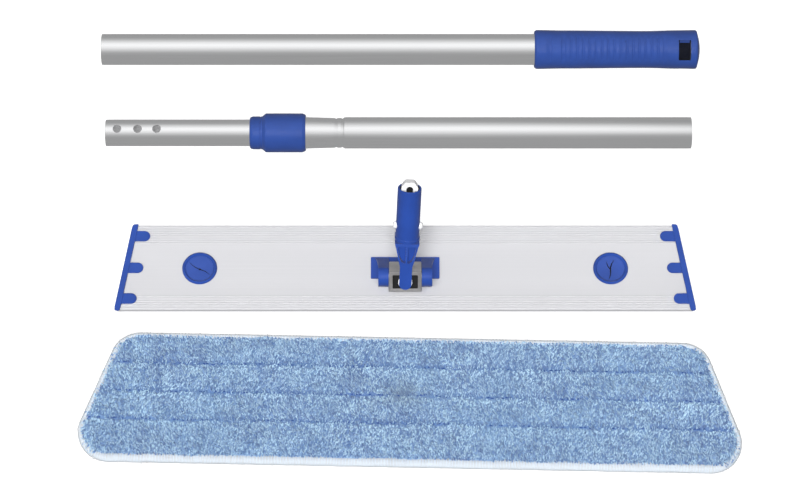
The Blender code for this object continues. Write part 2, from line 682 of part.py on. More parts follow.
def build_head(looks):
    head = axis_empty("head_middle", (HEAD_X, 0.0, 0.0))
    place("frame_plate", frame_plate(), looks["anodised"], head)
    place("end_cap_right", end_cap(), looks["blue"], head)
    place("end_cap_left", mirrored(end_cap()), looks["blue"], head)
    slits = {"left": ((140.0, -40.0), 11.0 * MM, 2.0 * MM), "right": ((80.0, 200.0, 320.0), 11.5 * MM, 0.0)}
    for side, name in ((-1, "left"), (1, "right")):
        spot = (side * GRIPPER_STEP, GRIPPER_Y, 0.0)
        place("cloth_gripper_rim_" + name, gripper_rim(), looks["blue"], head, spot)
        place("cloth_gripper_flaps_" + name, gripper_flaps(*slits[name]), looks["rubber"], head, spot)
    place("hook_strip_front", hook_strip(PLATE_FRONT + STRIP_INSET), looks["hook"], head)
    place("hook_strip_rear", hook_strip(PLATE_BACK - STRIP_INSET - STRIP_WIDTH), looks["hook"], head)
    place("joint_bracket", joint_bracket(), looks["blue"], head)
    spots = [(side * SCREW_X, y, 0.0) for side in (-1, 1) for y in SCREW_YS]
    for number, spot in enumerate(spots, 1):
        place(f"bracket_screw_{number}", bracket_screw(), looks["steel"], head, spot)


def build_joint(looks):
    tilt = axis_empty("tilt_axis", PIVOT, (-TILT_BACK, 0.0, 0.0))
    fixed = axis_empty("tilt_pin_axis", PIVOT)
    place("tilt_pin_right", tilt_pin(), looks["steel"], fixed)
    place("tilt_pin_left", mirrored(tilt_pin()), looks["steel"], fixed)
    place("cross_block", cross_block(), looks["cast"], tilt)
    swivel = axis_empty("swivel_axis", (0.0, 0.0, 0.0), (0.0, LEAN_RIGHT, 0.0), tilt)
    place("handle_socket", handle_socket(), looks["blue"], swivel)
    place("swivel_pin", swivel_pin(), looks["steel"], swivel)
    place("swivel_washer_back", swivel_washer(), looks["white"], swivel, (0.0, BLOCK_Y + GAP, 0.0))
    place("swivel_washer_front", swivel_washer(), looks["white"], swivel, (0.0, -BLOCK_Y - GAP - WASHER, 0.0))
    place("clip_bend", clip_bend(), looks["white"], swivel)
    middle = (CLIP_OUT + CLIP_IN) / 2
    for side, name in ((1, "right"), (-1, "left")):
        hinge = axis_empty("button_axis_" + name, (side * middle, 0.0, CLIP_HINGE), (0.0, 0.0, 0.0), swivel)
        leg = clip_leg() if side > 0 else mirrored(clip_leg())
        place("clip_leg_" + name, moved(leg, x=-side * middle, z=-CLIP_HINGE), looks["white"], hinge)


def build_pad(looks):
    pad = axis_empty("pad_middle", PAD_PLACE, (0.0, 0.0, PAD_TURN))
    inner = pad_outline(BINDING + GAP)
    place("pad_backing", prism(inner, 0.0, BACKING_TOP), looks["backing"], pad)
    place("pad_core", prism(inner, BACKING_TOP + GAP, CORE_TOP), looks["foam"], pad)
    place("pad_pile", pad_pile(), looks["pile"], pad)
    place("pad_binding", pad_binding(), looks["thread"], pad)


def make_looks():
    return {
        "aluminium": material("aluminium", (0.62, 0.63, 0.65), 0.32, 1.0),
        "anodised": material("anodised", (0.74, 0.75, 0.78), 0.45, 0.9),
        "cast": material("cast", (0.5, 0.5, 0.52), 0.5, 0.9),
        "steel": material("steel", (0.55, 0.55, 0.56), 0.3, 1.0),
        "blue": material("blue_plastic", (0.033, 0.085, 0.39), 0.42),
        "grip": material("grip_rubber", (0.04, 0.085, 0.31), 0.6),
        "white": material("white_plastic", (0.85, 0.85, 0.86), 0.4),
        "grey": material("grey_plastic", (0.3, 0.31, 0.33), 0.5),
        "rubber": material("blue_rubber", (0.05, 0.11, 0.38), 0.65),
        "hook": material("hook_strip", (0.75, 0.76, 0.78), 0.9),
        "backing": material("loop_backing", (0.8, 0.82, 0.85), 0.95),
        "foam": material("foam", (0.82, 0.82, 0.78), 0.95),
        "pile": material("microfibre", (0.22, 0.38, 0.62), 0.95),
        "thread": material("thread", (0.86, 0.87, 0.9), 0.9),
    }


def main():
    for old in list(bpy.data.objects):
        bpy.data.objects.remove(old, do_unlink=True)
    looks = make_looks()
    build_upper_pole(looks)
    build_lower_pole(looks)
    build_head(looks)
    build_joint(looks)
    build_pad(looks)


main()
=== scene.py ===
"""Looks for the flat mop kit: a two-length pole, a trapezoid head with its handle joint, and a pad."""

import json
import math

import bmesh
import bpy
import numpy as np
from mathutils import Matrix, Vector
from mathutils.geometry import convex_hull_2d


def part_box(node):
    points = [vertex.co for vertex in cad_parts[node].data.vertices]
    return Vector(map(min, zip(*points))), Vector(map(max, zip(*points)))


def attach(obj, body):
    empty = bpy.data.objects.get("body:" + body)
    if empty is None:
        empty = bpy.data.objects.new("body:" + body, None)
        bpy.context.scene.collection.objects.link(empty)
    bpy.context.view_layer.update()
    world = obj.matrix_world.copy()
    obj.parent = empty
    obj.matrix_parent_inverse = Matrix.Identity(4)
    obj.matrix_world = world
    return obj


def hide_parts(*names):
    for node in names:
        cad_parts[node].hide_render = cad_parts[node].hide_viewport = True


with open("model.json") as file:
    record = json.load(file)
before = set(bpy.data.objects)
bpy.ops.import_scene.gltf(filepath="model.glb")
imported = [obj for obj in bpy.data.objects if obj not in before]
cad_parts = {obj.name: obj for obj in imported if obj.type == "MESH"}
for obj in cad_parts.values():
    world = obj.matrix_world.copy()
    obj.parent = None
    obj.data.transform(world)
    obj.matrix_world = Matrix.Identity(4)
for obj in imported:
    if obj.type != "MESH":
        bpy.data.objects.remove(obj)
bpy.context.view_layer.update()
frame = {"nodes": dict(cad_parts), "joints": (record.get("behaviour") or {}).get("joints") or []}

MM = 0.001
GAP = 0.3 * MM
SIDES = 96
EDGE_ANGLE = math.radians(32.0)     # edges sharper than this are bevelled
JOINTS = {joint["name"]: joint for joint in frame["joints"]}

# Camera and studio
TARGET = Vector((-14.7 * MM, 6.0 * MM, 0.0))
CAMERA_DISTANCE = 3.5
CAMERA_RISE = math.radians(65.0)
LENS = 153.1
SENSOR = 36.0
SKY_LEAN = math.radians(3.5)
SKY = ((0, 1.07), (8, 1.04), (16, 0.95), (24, 0.83), (33, 0.71), (42, 0.57), (50, 0.46), (60, 0.39),
       (70, 0.36), (80, 0.35), (90, 0.35))    # brightness at degrees from the brightest direction
KEY = (3.7, 35.0, 30.0)             # strength, degrees across, degrees forward of straight up
FILL = (0.9, 180.0, 0.0)
SKY_LENGTH = 3.5                    # the brightest patch of sky is this many times longer than wide
LIGHTS_LEFT = math.radians(5.0)
FLOOR_HALF = 15.0
FLOOR_SHADE = 0.60
FLOOR_GLOW = 0.66


# ---------------------------------------------------------------- places taken from the frame

def middle(node):
    low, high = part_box(node)
    return (low + high) / 2


def local_box(node, place):
    """A CAD node's lowest and highest corners in a place's own axes."""
    back = place.inverted()
    points = np.array([back @ vertex.co for vertex in frame["nodes"][node].data.vertices])
    return Vector(points.min(axis=0)), Vector(points.max(axis=0))


def joint_places():
    """The cross block's and the handle socket's own axes, from the two joints of the head."""
    pivot = Vector(JOINTS["head_tilt"]["pos_m"])
    swivel = Vector(JOINTS["head_swivel"]["axis"])
    hinges = [Vector(JOINTS[name]["pos_m"]) for name in ("left_button_press", "right_button_press")]
    reach = (hinges[0] + hinges[1]) / 2 - pivot
    block = Matrix.Translation(pivot) @ Matrix.Rotation(math.atan2(swivel.z, swivel.y), 4, "X")
    return block, block @ Matrix.Rotation(math.asin(reach.x / reach.length), 4, "Y")


BLOCK_PLACE, SOCKET_PLACE = joint_places()


# ---------------------------------------------------------------- shapes

def finished(shape):
    bmesh.ops.recalc_face_normals(shape, faces=shape.faces)
    return shape


def rounded(points, radius, steps=4):
    """A closed outline with its corners rounded; a point may carry its own radius as a third value."""
    made = []
    count = len(points)
    for number, point in enumerate(points):
        corner = Vector(point[:2])
        before = Vector(points[number - 1][:2]) - corner
        after = Vector(points[(number + 1) % count][:2]) - corner
        want = point[2] if len(point) > 2 else radius
        opening = before.angle(after, math.pi)
        if want <= 0.0 or opening > math.radians(175.0):
            made.append(tuple(corner))
            continue
        reach = min(want / math.tan(opening / 2), 0.48 * before.length, 0.48 * after.length)
        start, stop = corner + before.normalized() * reach, corner + after.normalized() * reach
        for step in range(steps + 1):
            share = step / steps
            rest = 1 - share
            made.append(tuple(start * rest ** 2 + corner * 2 * share * rest + stop * share ** 2))
    return made


def rectangle(x_low, x_high, y_low, y_high):
    return [(x_low, y_low), (x_high, y_low), (x_high, y_high), (x_low, y_high)]


def offsets(start, table):
    """Points from a table in mm beside a point in metres; a third value is the corner's own radius."""
    return [(start[0] + x * MM, start[1] + y * MM, *(value * MM for value in more)) for x, y, *more in table]


def arc(centre, radius, start, stop, steps):
    """Points along an arc, with its angles in degrees."""
    turns = [math.radians(start + (stop - start) * step / steps) for step in range(steps + 1)]
    return [(centre[0] + radius * math.cos(t), centre[1] + radius * math.sin(t)) for t in turns]


def prism(outline, low, high):
    """A flat outline in X and Y, filled and raised from one Z to another."""
    shape = bmesh.new()
    rings = [[shape.verts.new((x, y, z)) for x, y in outline] for z in (low, high)]
    shape.faces.new(rings[0])
    shape.faces.new(rings[1])
    for number in range(len(outline)):
        after = (number + 1) % len(outline)
        shape.faces.new((rings[0][number], rings[0][after], rings[1][after], rings[1][number]))
    return finished(shape)


def prism_along_x(outline, low, high):
    """As prism, for an outline in Y and Z that runs along X."""
    shape = prism(outline, low, high)
    shape.transform(Matrix(((0, 0, 1, 0), (1, 0, 0, 0), (0, 1, 0, 0), (0, 0, 0, 1))))
    return finished(shape)


def prism_along_y(outline, low, high):
    """As prism, for an outline in X and Z that runs along Y."""
    shape = prism(outline, low, high)
    shape.transform(Matrix(((1, 0, 0, 0), (0, 0, 1, 0), (0, 1, 0, 0), (0, 0, 0, 1))))
    return finished(shape)


def turned(profile, sides=SIDES):
    """A profile of (X, radius) points turned about the X axis; it closes itself off the axis."""
    shape = bmesh.new()
    turns = [math.tau * side / sides for side in range(sides)]
    rings = []
    for x, radius in profile:
        if radius < 1e-7:
            rings.append([shape.verts.new((x, 0.0, 0.0))])
        else:
            rings.append([shape.verts.new((x, radius * math.sin(t), radius * math.cos(t))) for t in turns])
    pairs = list(zip(rings, rings[1:]))
    if len(rings[0]) > 1:
        pairs.append((rings[-1], rings[0]))
    for here, there in pairs:
        for side in range(sides):
            after = (side + 1) % sides
            corners = [here[side % len(here)], here[after % len(here)],
                       there[after % len(there)], there[side % len(there)]]
            corners = list(dict.fromkeys(corners))
            if len(corners) > 2:
                shape.faces.new(corners)
    return finished(shape)


def rod(radius, low, high, sides=32):
    return turned([(low, 0.0), (low, radius), (high, radius), (high, 0.0)], sides)


def upright(shape):
    """Stands a shape that was made along X up along Z."""
    shape.transform(Matrix.Rotation(-math.pi / 2, 4, "Y"))
    return shape


def crosswise(shape):
    """Turns a shape that was made along X to lie along Y."""
    shape.transform(Matrix.Rotation(math.pi / 2, 4, "Z"))
    return shape


def placed(shape, where):
    """A shape moved by a vector, or put in a place's own axes by a matrix."""
    shape.transform(where if isinstance(where, Matrix) else Matrix.Translation(Vector(where)))
    return shape


def mirrored(shape):
    shape.transform(Matrix.Scale(-1.0, 4, (1.0, 0.0, 0.0)))
    bmesh.ops.reverse_faces(shape, faces=shape.faces)
    return shape


def linked(name, data):
    """A new object in the scene."""
    thing = bpy.data.objects.new(name, data)
    bpy.context.scene.collection.objects.link(thing)
    return thing


def as_object(name, shape):
    mesh = bpy.data.meshes.new(name)
    shape.to_mesh(mesh)
    shape.free()
    return linked(name, mesh)


def evaluated(thing):
    """The mesh of an object with its modifiers, as a new mesh."""
    graph = bpy.context.evaluated_depsgraph_get()
    return bpy.data.meshes.new_from_object(thing.evaluated_get(graph))


def combined(base, tool, operation):
    """One exact Boolean of two shapes; both are used up."""
    body, helper = as_object("body", base), as_object("helper", tool)
    change = body.modifiers.new("change", "BOOLEAN")
    change.operation = operation
    change.solver = "EXACT"
    change.object = helper
    mesh = evaluated(body)
    result = bmesh.new()
    result.from_mesh(mesh)
    bpy.data.meshes.remove(mesh)
    for thing in (body, helper):
        bpy.data.objects.remove(thing, do_unlink=True)
    return result


def joined(base, *tools):
    for tool in tools:
        base = combined(base, tool, "UNION")
    return base


def cut(base, *tools):
    for tool in tools:
        base = combined(base, tool, "DIFFERENCE")
    return base


def softened(thing, width):
    """Rounds an object's sharp edges and lets its flat faces stay flat."""
    bevel = thing.modifiers.new("bevel", "BEVEL")
    bevel.width = width
    bevel.segments = 3
    bevel.limit_method = "ANGLE"
    bevel.angle_limit = EDGE_ANGLE
    bevel.use_clamp_overlap = True
    bevel.miter_outer = "MITER_ARC"
    thing.data.shade_smooth()
    weigh = thing.modifiers.new("weigh", "WEIGHTED_NORMAL")
    weigh.keep_sharp = True
    mesh = evaluated(thing)
    thing.modifiers.clear()
    old, thing.data = thing.data, mesh
    bpy.data.meshes.remove(old)


def piece(name, shape, look, body, nodes=(), edge=0.0, smooth=35.0):
    """One finished piece: its edges, shading and looks by name, what it rides on and what it stands for."""
    thing = shape if isinstance(shape, bpy.types.Object) else as_object(name, shape)
    thing.name = name
    if edge > 0.0:
        softened(thing, edge)
    else:
        thing.data.shade_smooth()
        thing.data.set_sharp_from_angle(angle=math.radians(smooth))
    looks = [LOOKS[one] for one in look.split()]
    thing.data.materials.clear()
    for one in looks:
        thing.data.materials.append(one.material)
    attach(thing, body)
    if nodes:
        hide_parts(*([nodes] if isinstance(nodes, str) else nodes))
    thing.visible_glossy = False
    return thing


def second_look(thing, place, chosen):
    """Gives a piece's second material to the faces that a test in a place's own axes picks out."""
    back = place.inverted()
    for face in thing.data.polygons:
        if chosen(back @ face.center):
            face.material_index = 1


# ---------------------------------------------------------------- materials

def linear(red, green, blue):
    """An 8-bit screen colour as linear values."""
    def one(value):
        value = value / 255.0
        return value / 12.92 if value <= 0.04045 else ((value + 0.055) / 1.055) ** 2.4
    return tuple(one(value) for value in (red, green, blue))


class Look:
    """A Principled material whose colour, roughness and relief come from noises in object space."""

    def __init__(self, slot, metallic=0.0, specular=0.5, sheen=0.0):
        self.slot = slot
        self.material = bpy.data.materials.new("look_" + slot)
        self.material.use_nodes = True
        self.tree = self.material.node_tree
        self.shader = self.tree.nodes["Principled BSDF"]
        self.shader.inputs["Metallic"].default_value = metallic
        self.shader.inputs["Specular IOR Level"].default_value = specular
        self.shader.inputs["Sheen Weight"].default_value = sheen
        self.place = self.tree.nodes.new("ShaderNodeTexCoord")
        self.normal = None

    def node(self, kind, **values):
        """A new node, with the values of its inputs."""
        made = self.tree.nodes.new("ShaderNode" + kind)
        for name, value in values.items():
            made.inputs[name.replace("_", " ")].default_value = value
        return made

    def link(self, value, socket):
        self.tree.links.new(value, socket)

    def noise(self, scale, stretch=(1.0, 1.0, 1.0), detail=3.0, rough=0.5):
        """A noise of so many cells per metre, stretched along an axis by a factor below 1."""
        mapping = self.node("Mapping", Scale=stretch)
        texture = self.node("TexNoise", Detail=detail, Roughness=rough, Scale=scale)
        self.link(self.place.outputs["Object"], mapping.inputs["Vector"])
        self.link(mapping.outputs["Vector"], texture.inputs["Vector"])
        return texture.outputs["Fac"]

    def spread(self, value, low, high):
        """A noise's middle range turned into low to high."""
        made = self.node("MapRange", From_Min=0.3, From_Max=0.7, To_Min=low, To_Max=high)
        self.link(value, made.inputs["Value"])
        return made.outputs["Result"]

    def mix(self, factor, first, second):
        """A mix of two colours, each a tuple or a socket."""
        made = self.node("Mix")
        made.data_type = "RGBA"
        self.link(factor, made.inputs[0])
        for socket, value in ((made.inputs[6], first), (made.inputs[7], second)):
            if isinstance(value, tuple):
                socket.default_value = (*value, 1.0)
            else:
                self.link(value, socket)
        return made.outputs[2]

    def attribute(self, name):
        made = self.node("Attribute")
        made.attribute_name = name
        return made.outputs["Fac"]

    def colour(self, value):
        self.link(value, self.shader.inputs["Base Color"])

    def roughness(self, value):
        self.link(value, self.shader.inputs["Roughness"])

    def bump(self, value, depth, strength):
        """Adds relief; several can follow each other."""
        made = self.node("Bump", Distance=depth, Strength=strength)
        self.link(value, made.inputs["Height"])
        if self.normal is not None:
            self.link(self.normal, made.inputs["Normal"])
        self.normal = made.outputs["Normal"]
        self.link(self.normal, self.shader.inputs["Normal"])
        return self


def shaded(base, factor):
    return tuple(min(1.0, value * factor) for value in base)


def varied(look, value, base, less, more):
    """A base colour made darker and lighter by a noise."""
    return look.mix(look.spread(value, 0.0, 1.0), shaded(base, less), shaded(base, more))


def metal_look(slot, base, rough, streak, along=(0.004, 1.0, 1.0)):
    """Drawn or brushed metal: long fine streaks over a slow cloudiness."""
    look = Look(slot, metallic=1.0)
    streaks = look.noise(streak, along, detail=4.0, rough=0.6)
    clouds = look.noise(28.0, (0.4, 1.0, 1.0), detail=2.0)
    tone = varied(look, streaks, base, 0.95, 1.05)
    look.colour(look.mix(look.spread(clouds, 0.0, 0.5), tone, shaded(base, 0.97)))
    look.roughness(look.spread(streaks, rough * 0.88, rough * 1.14))
    return look.bump(streaks, 0.01 * MM, 0.5)


def anodised_look(base):
    """Matt anodised aluminium: pale and even, with faint drawing lines along its length."""
    look = Look("anodised", metallic=0.25, specular=0.4)
    lines = look.noise(700.0, (0.002, 1.0, 1.0), detail=4.0, rough=0.65)
    clouds = look.noise(9.0, (0.5, 1.0, 1.0))
    tone = varied(look, lines, base, 0.965, 1.03)
    look.colour(look.mix(look.spread(clouds, 0.0, 0.6), tone, shaded(base, 0.965)))
    look.roughness(look.spread(lines, 0.52, 0.66))
    return look.bump(lines, 0.02 * MM, 0.5)


def plastic_look(slot, base, rough, grain=2600.0, vary=0.09, relief=0.02 * MM, specular=0.5):
    """Moulded plastic: a fine spark-eroded grain and slow changes of tone and gloss."""
    look = Look(slot, specular=specular)
    clouds = look.noise(38.0)
    fine = look.noise(grain, detail=2.0)
    look.colour(varied(look, clouds, base, 1 - vary, 1 + vary))
    look.roughness(look.spread(look.noise(90.0), rough * 0.85, rough * 1.15))
    look.bump(look.noise(160.0, detail=1.0), relief * 2, 0.35)
    return look.bump(fine, relief, 0.6)


def cast_look(base):
    """Die-cast zinc: an even pebbled skin with slow tarnish."""
    look = Look("cast", metallic=0.9)
    pebbles = look.noise(1300.0)
    clouds = look.noise(110.0, detail=4.0)
    look.colour(varied(look, clouds, base, 0.82, 1.08))
    look.roughness(look.spread(clouds, 0.4, 0.58))
    return look.bump(pebbles, 0.05 * MM, 0.7)


def thread_look(slot, base, twist=1500.0):
    """Soft textured yarn."""
    look = Look(slot, specular=0.2, sheen=0.3)
    fibres = look.noise(twist, detail=4.0, rough=0.7)
    look.colour(varied(look, fibres, base, 0.86, 1.14))
    look.roughness(look.spread(fibres, 0.8, 0.95))
    return look.bump(fibres, 0.12 * MM, 0.8)


def pile_look(dark, light, grey, patch):
    """Microfibre pile: each tuft has its own shade, which also carries painted shade at the roots and about
    the seams, in slow patches, with a greyish patch laid over it.
    """
    look = Look("pile", specular=0.15, sheen=0.25)
    own = look.attribute("shade")
    fibres = look.noise(1900.0, rough=0.7)
    clouds = look.noise(55.0)
    slow = look.noise(13.0, detail=2.0)
    tone = look.mix(own, dark, light)
    for value, most, colour in ((fibres, 0.35, shaded(light, 1.12)), (clouds, 0.30, shaded(dark, 0.85)),
                                (slow, 0.22, grey)):
        tone = look.mix(look.spread(value, 0.0, most), tone, colour)
    look.colour(look.mix(look.attribute("soil"), tone, patch))
    look.roughness(look.spread(fibres, 0.82, 0.98))
    return look.bump(fibres, 0.2 * MM, 0.7)


BLUE = (0.015, 0.057, 0.305)
GRIP = (0.020, 0.058, 0.262)
LOOKS = {
    "tube": metal_look("aluminium", (0.90, 0.905, 0.915), 0.22, 1500.0),
    "plate": anodised_look((0.66, 0.66, 0.685)),
    "bore": anodised_look((0.66, 0.66, 0.67)),
    "cast": cast_look((0.60, 0.59, 0.60)),
    "steel": metal_look("steel", (0.55, 0.55, 0.56), 0.32, 1200.0, (1.0, 1.0, 0.02)),
    "blue": plastic_look("blue", BLUE, 0.36),
    "grip": plastic_look("grip", GRIP, 0.38, grain=1800.0, relief=0.03 * MM),
    "white": plastic_look("white", (0.87, 0.87, 0.88), 0.38, vary=0.02),
    "grey": plastic_look("grey", (0.22, 0.23, 0.25), 0.5),
    "rubber": plastic_look("rubber", (0.034, 0.078, 0.33), 0.52, 1500.0, relief=0.04 * MM, specular=0.4),
    # dark and hollow are near-black looks used as painted shade inside recesses: the cross block's windows,
    # the socket's bore, the grip's hang slot and the cups under the gripper flaps.
    "dark": plastic_look("grey", (0.012, 0.012, 0.013), 0.7),
    "hollow": plastic_look("grey", (0.0012, 0.0022, 0.0075), 0.8),
    "hook": thread_look("hook", (0.72, 0.73, 0.76), 900.0),
    "thread": thread_look("thread", (0.60, 0.625, 0.65)),
    "roll": thread_look("thread", (0.64, 0.71, 0.79)),
    # The seam thread is dark navy, as dark as the shaded pits along the seams: partly the thread's own
    # colour, partly painted shade.
    "seam": thread_look("pile", linear(54, 84, 146), 2000.0),
    "felt": thread_look("backing", (0.80, 0.82, 0.86), 1100.0),
    "pile": pile_look(linear(48, 88, 162), linear(204, 236, 255), linear(150, 190, 222),
                      linear(120, 136, 152)),
}


# ---------------------------------------------------------------- poles

TUBE_WALL = 1.1 * MM
INNER_WALL = 1.2 * MM
TUBE_EDGE = 0.25 * MM
RIB_COUNT = 16
FIRST_RIB = 35.0 * MM               # from the grip's left end
RIB_STEP = 6.6 * MM
RIB_LAND = 2.9 * MM
RIB_DEPTH = 0.8 * MM
BAND = (17.5 * MM, 29.0 * MM)       # a plain raised band left of the ribs
PRESS_FROM = 11 * MM                # where the two sunk thumb faces begin
SLOT_ACROSS = 18.0 * MM
SLOT_TILT = math.radians(25.0)
SLOT_LEAN = -0.1                    # how much of that tilt the slot's own direction has
SLOT_FROM_END = (23.6 * MM, 10.6 * MM)
SLOT_DEPTH = 60                     # mm that the cutting tools go below the slot's mouth
SLOT_ABOVE = 12                     # mm that they start above it
DOME_RISE = 3.2 * MM
DOME_RADII = (16.5, 15, 12, 9, 6, 3, 0)
CRIMP_FROM_COLLAR = 32.0 * MM
CRIMP_WIDTH = 7.3 * MM
CRIMP_LEFT = ((-2.6, -0.8), (-1.7, -0.8), (-0.7, -1.35), (0.2, -1.5), (0.6, -1.5), (1.3, -1.0), (1.9, -0.85))
CRIMP_RIGHT = ((-2.6, -0.85), (-1.9, -1.0), (-1.2, -1.5), (-0.7, -1.5), (0.3, -0.9), (1.4, -0.1), (2.4, 0))
NOSE_LENGTH = 14.2 * MM
NOSE_STEP = 3.25 * MM
HOLE_R = 4.5 * MM
HOLE_STEPS = (12.6 * MM, 34.1 * MM, 54.1 * MM)
HOLE_TILT = math.radians(8.0)


def between(table, x):
    """A smooth value between the (X, value) keys of a table."""
    for (x0, v0), (x1, v1) in zip(table, table[1:]):
        if x <= x1:
            share = min(1.0, max(0.0, (x - x0) / (x1 - x0)))
            return v0 + (v1 - v0) * share * share * (3 - 2 * share)
    return table[-1][1]


def smooth_step(value):
    value = min(1.0, max(0.0, value))
    return value * value * (3 - 2 * value)


def tube_profile(left, right, radius, wall):
    e = TUBE_EDGE
    bore = radius - wall
    return [(left + e, bore), (left, bore + e), (left, radius - e), (left + e, radius),
            (right - e, radius), (right, radius - e), (right, bore + e), (right - e, bore)]


def pole_piece(name, node, shape, look, body, **shading):
    """A piece that was made about the X axis, put on its CAD node's own axis."""
    spot = middle(node)
    return piece(name, placed(shape, (0, spot.y, spot.z)), look, body, node, **shading)


def upper_tube():
    low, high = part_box("upper_tube")
    shape = turned(tube_profile(low.x, high.x, (high.z - low.z) / 2, TUBE_WALL))
    pole_piece("pole_upper_tube", "upper_tube", shape, "tube", "upper_pole")


def grip_relief(x):
    """How far the grip's surface stands above its plain form, from the ribs and the band."""
    relief = 0.0
    for number in range(RIB_COUNT):
        away = abs(x - FIRST_RIB - number * RIB_STEP) - RIB_LAND / 2
        relief = max(relief, 1.0 - smooth_step(away / (0.5 * (RIB_STEP - RIB_LAND))))
    inside = min(x - BAND[0], BAND[1] - x) / (1.2 * MM)
    return RIB_DEPTH * max(relief, smooth_step(inside))


def grip_profile(low, high, radius, bore, seat):
    """The grip's closed outline: its seat on the tube, then its outside from the left to the domed end."""
    length = high - low
    keys = offsets((0.0, radius), ((0, 0), (32, -0.5), (117.7, -1.1), (153.6, -0.3))) + [(length, radius)]
    outline = [(seat, 0.0), (seat, bore), (low + 0.6 * MM, bore), (low, bore + 0.6 * MM)]
    outline += offsets((low, radius), ((0, -1.9), (0.3, -1.3), (1.8, -0.25), (2.6, 0)))
    start, rim = 3.2 * MM, length - 5.8 * MM
    steps = 420
    for step in range(1, steps):
        x = start + (rim - start) * step / steps
        outline.append((low + x, between(keys, x)))
    outline += offsets((low + rim, radius), ((1.0, -0.12), (1.9, -0.6), (2.5, -1.3)))
    return outline + [(low + rim + 2.6 * MM + DOME_RISE * (1 - (r / 18.5) ** 2), r * MM) for r in DOME_RADII]


def press_ribs(shape, low, bore):
    """Sinks the two thumb faces of the grip, front and back, between their ribs and band."""
    start, stop = PRESS_FROM, FIRST_RIB + RIB_COUNT * RIB_STEP - RIB_STEP / 2 + 4 * MM
    for vertex in shape.verts:
        across = math.hypot(vertex.co.y, vertex.co.z)
        x = vertex.co.x - low
        if across < bore + MM or not start - MM < x < stop + 2 * MM:
            continue
        turn = math.atan2(-vertex.co.y, vertex.co.z) - SLOT_TILT
        face = smooth_step((abs(math.cos(turn)) - 0.62) / 0.3)
        sunk = face * smooth_step((x - start) / (6 * MM)) * smooth_step((stop - x) / (5 * MM))
        share = (across - sunk * (RIB_DEPTH - grip_relief(x))) / across
        vertex.co.y *= share
        vertex.co.z *= share
    return shape


def slot_tools(left, right, mouth):
    """What is cut out for the hang slot: a hole that narrows downwards, and a scoop to its right."""
    half = SLOT_ACROSS / 2
    hole = rounded(rectangle(left, right, -half, half), 1.2 * MM)
    wedge = offsets((-half, 0.0), ((-1, SLOT_ABOVE),)) + offsets((half, 0.0), ((1, SLOT_ABOVE), (1, -2)))
    wedge += offsets((-half, 0.0), ((2.5, -27), (2.5, -SLOT_DEPTH), (-1, -SLOT_DEPTH)))
    slot = prism(hole, -SLOT_DEPTH * MM, SLOT_ABOVE * MM)
    slot = combined(slot, prism_along_x(wedge, left - MM, right + MM), "INTERSECT")
    scoop = prism_along_y(offsets((right, 0.0), ((-2, -5), (-0.5, -5), (7.9, 6), (-2, 6))),
                          1.4 * MM - half, half - 1.4 * MM)
    place = Matrix.Translation(mouth) @ Matrix.Rotation(SLOT_TILT * SLOT_LEAN, 4, "X")
    return placed(slot, place), placed(scoop, place)


def hand_grip():
    low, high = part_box("hand_grip")
    tube_low, tube_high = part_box("upper_tube")
    radius = (high.z - low.z) / 2
    bore = (tube_high.z - tube_low.z) / 2 + GAP
    shape = turned(grip_profile(low.x, high.x, radius, bore, tube_high.x + 2 * GAP), 128)
    press_ribs(shape, low.x, bore)
    left, right = (high.x - away for away in SLOT_FROM_END)
    mouth = (0.0, -radius * math.sin(SLOT_TILT), radius * math.cos(SLOT_TILT))
    shape = cut(shape, *slot_tools(left, right, mouth))
    spot = middle("hand_grip")
    thing = pole_piece("pole_hand_grip", "hand_grip", shape, "grip hollow", "upper_pole",
                       smooth=38.0)
    # The slot's inner walls get the near-black hollow look: painted shade inside the slot.
    second_look(thing, Matrix.Translation((0, spot.y, spot.z)), lambda at: left - MM < at.x < right + 0.2 * MM
                and math.hypot(at.y, at.z) < radius - 1.6 * MM)


def lower_outer_tube():
    low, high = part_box("lower_outer_tube")
    collar_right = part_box("lock_collar")[1].x
    radius = (high.z - low.z) / 2
    bore, throat = radius - TUBE_WALL, radius - 2.1 * MM
    start = collar_right + CRIMP_FROM_COLLAR
    stop = start + CRIMP_WIDTH
    outside = [(low.x, radius), (collar_right, radius)]
    outside += offsets((start, radius), CRIMP_LEFT) + offsets((stop, radius), CRIMP_RIGHT)
    outside += [(high.x - TUBE_EDGE, radius), (high.x, radius - TUBE_EDGE)]
    inside = [(high.x, bore + TUBE_EDGE), (high.x - TUBE_EDGE, bore), (stop + 3 * MM, bore),
              (stop + 1.5 * MM, throat), (start - 1.5 * MM, throat), (collar_right, bore), (low.x, bore)]
    pole_piece("pole_lower_tube", "lower_outer_tube", turned(outside + inside), "tube", "lower_pole",
               smooth=50.0)


def lock_collar():
    """The turning collar: a plain nose with a rolled lip, and a wider part with bevelled ends."""
    low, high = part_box("lock_collar")
    inner_low, inner_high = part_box("inner_tube")
    radius = (high.z - low.z) / 2
    bore = (inner_high.z - inner_low.z) / 2 + GAP
    nose = radius - NOSE_STEP
    step = low.x + NOSE_LENGTH
    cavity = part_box("lower_outer_tube")[0].x - 5.6 * MM
    profile = [(low.x, bore), (cavity, bore, 0), (cavity, radius - 2.2 * MM, 0), (high.x, radius - 2.2 * MM)]
    for start, table in (((high.x, radius), ((0, -2, 0.1), (-0.6, -1.2, 0.4), (-3.2, -0.1, 0.6),
                                             (-4.2, 0, 0.6))),
                         ((step, radius), ((2.6, 0, 1.6),)),
                         ((step, nose), ((0.2, 1.3, 0.8), (-0.9, 0.15, 0.8), (-2.2, 0.1, 0.2),
                                         (-2.5, -0.35, 0.15), (-3.1, -0.35, 0.15), (-3.4, 0.1, 0.2))),
                         ((low.x, nose), ((3.2, 0.1, 1.6), (0.7, -0.8, 1), (0, -2.2, 0.5)))):
        profile += offsets(start, table)
    pole_piece("pole_lock_collar", "lock_collar", turned(rounded(profile, 0.3 * MM)), "grip", "collar",
               smooth=50.0)


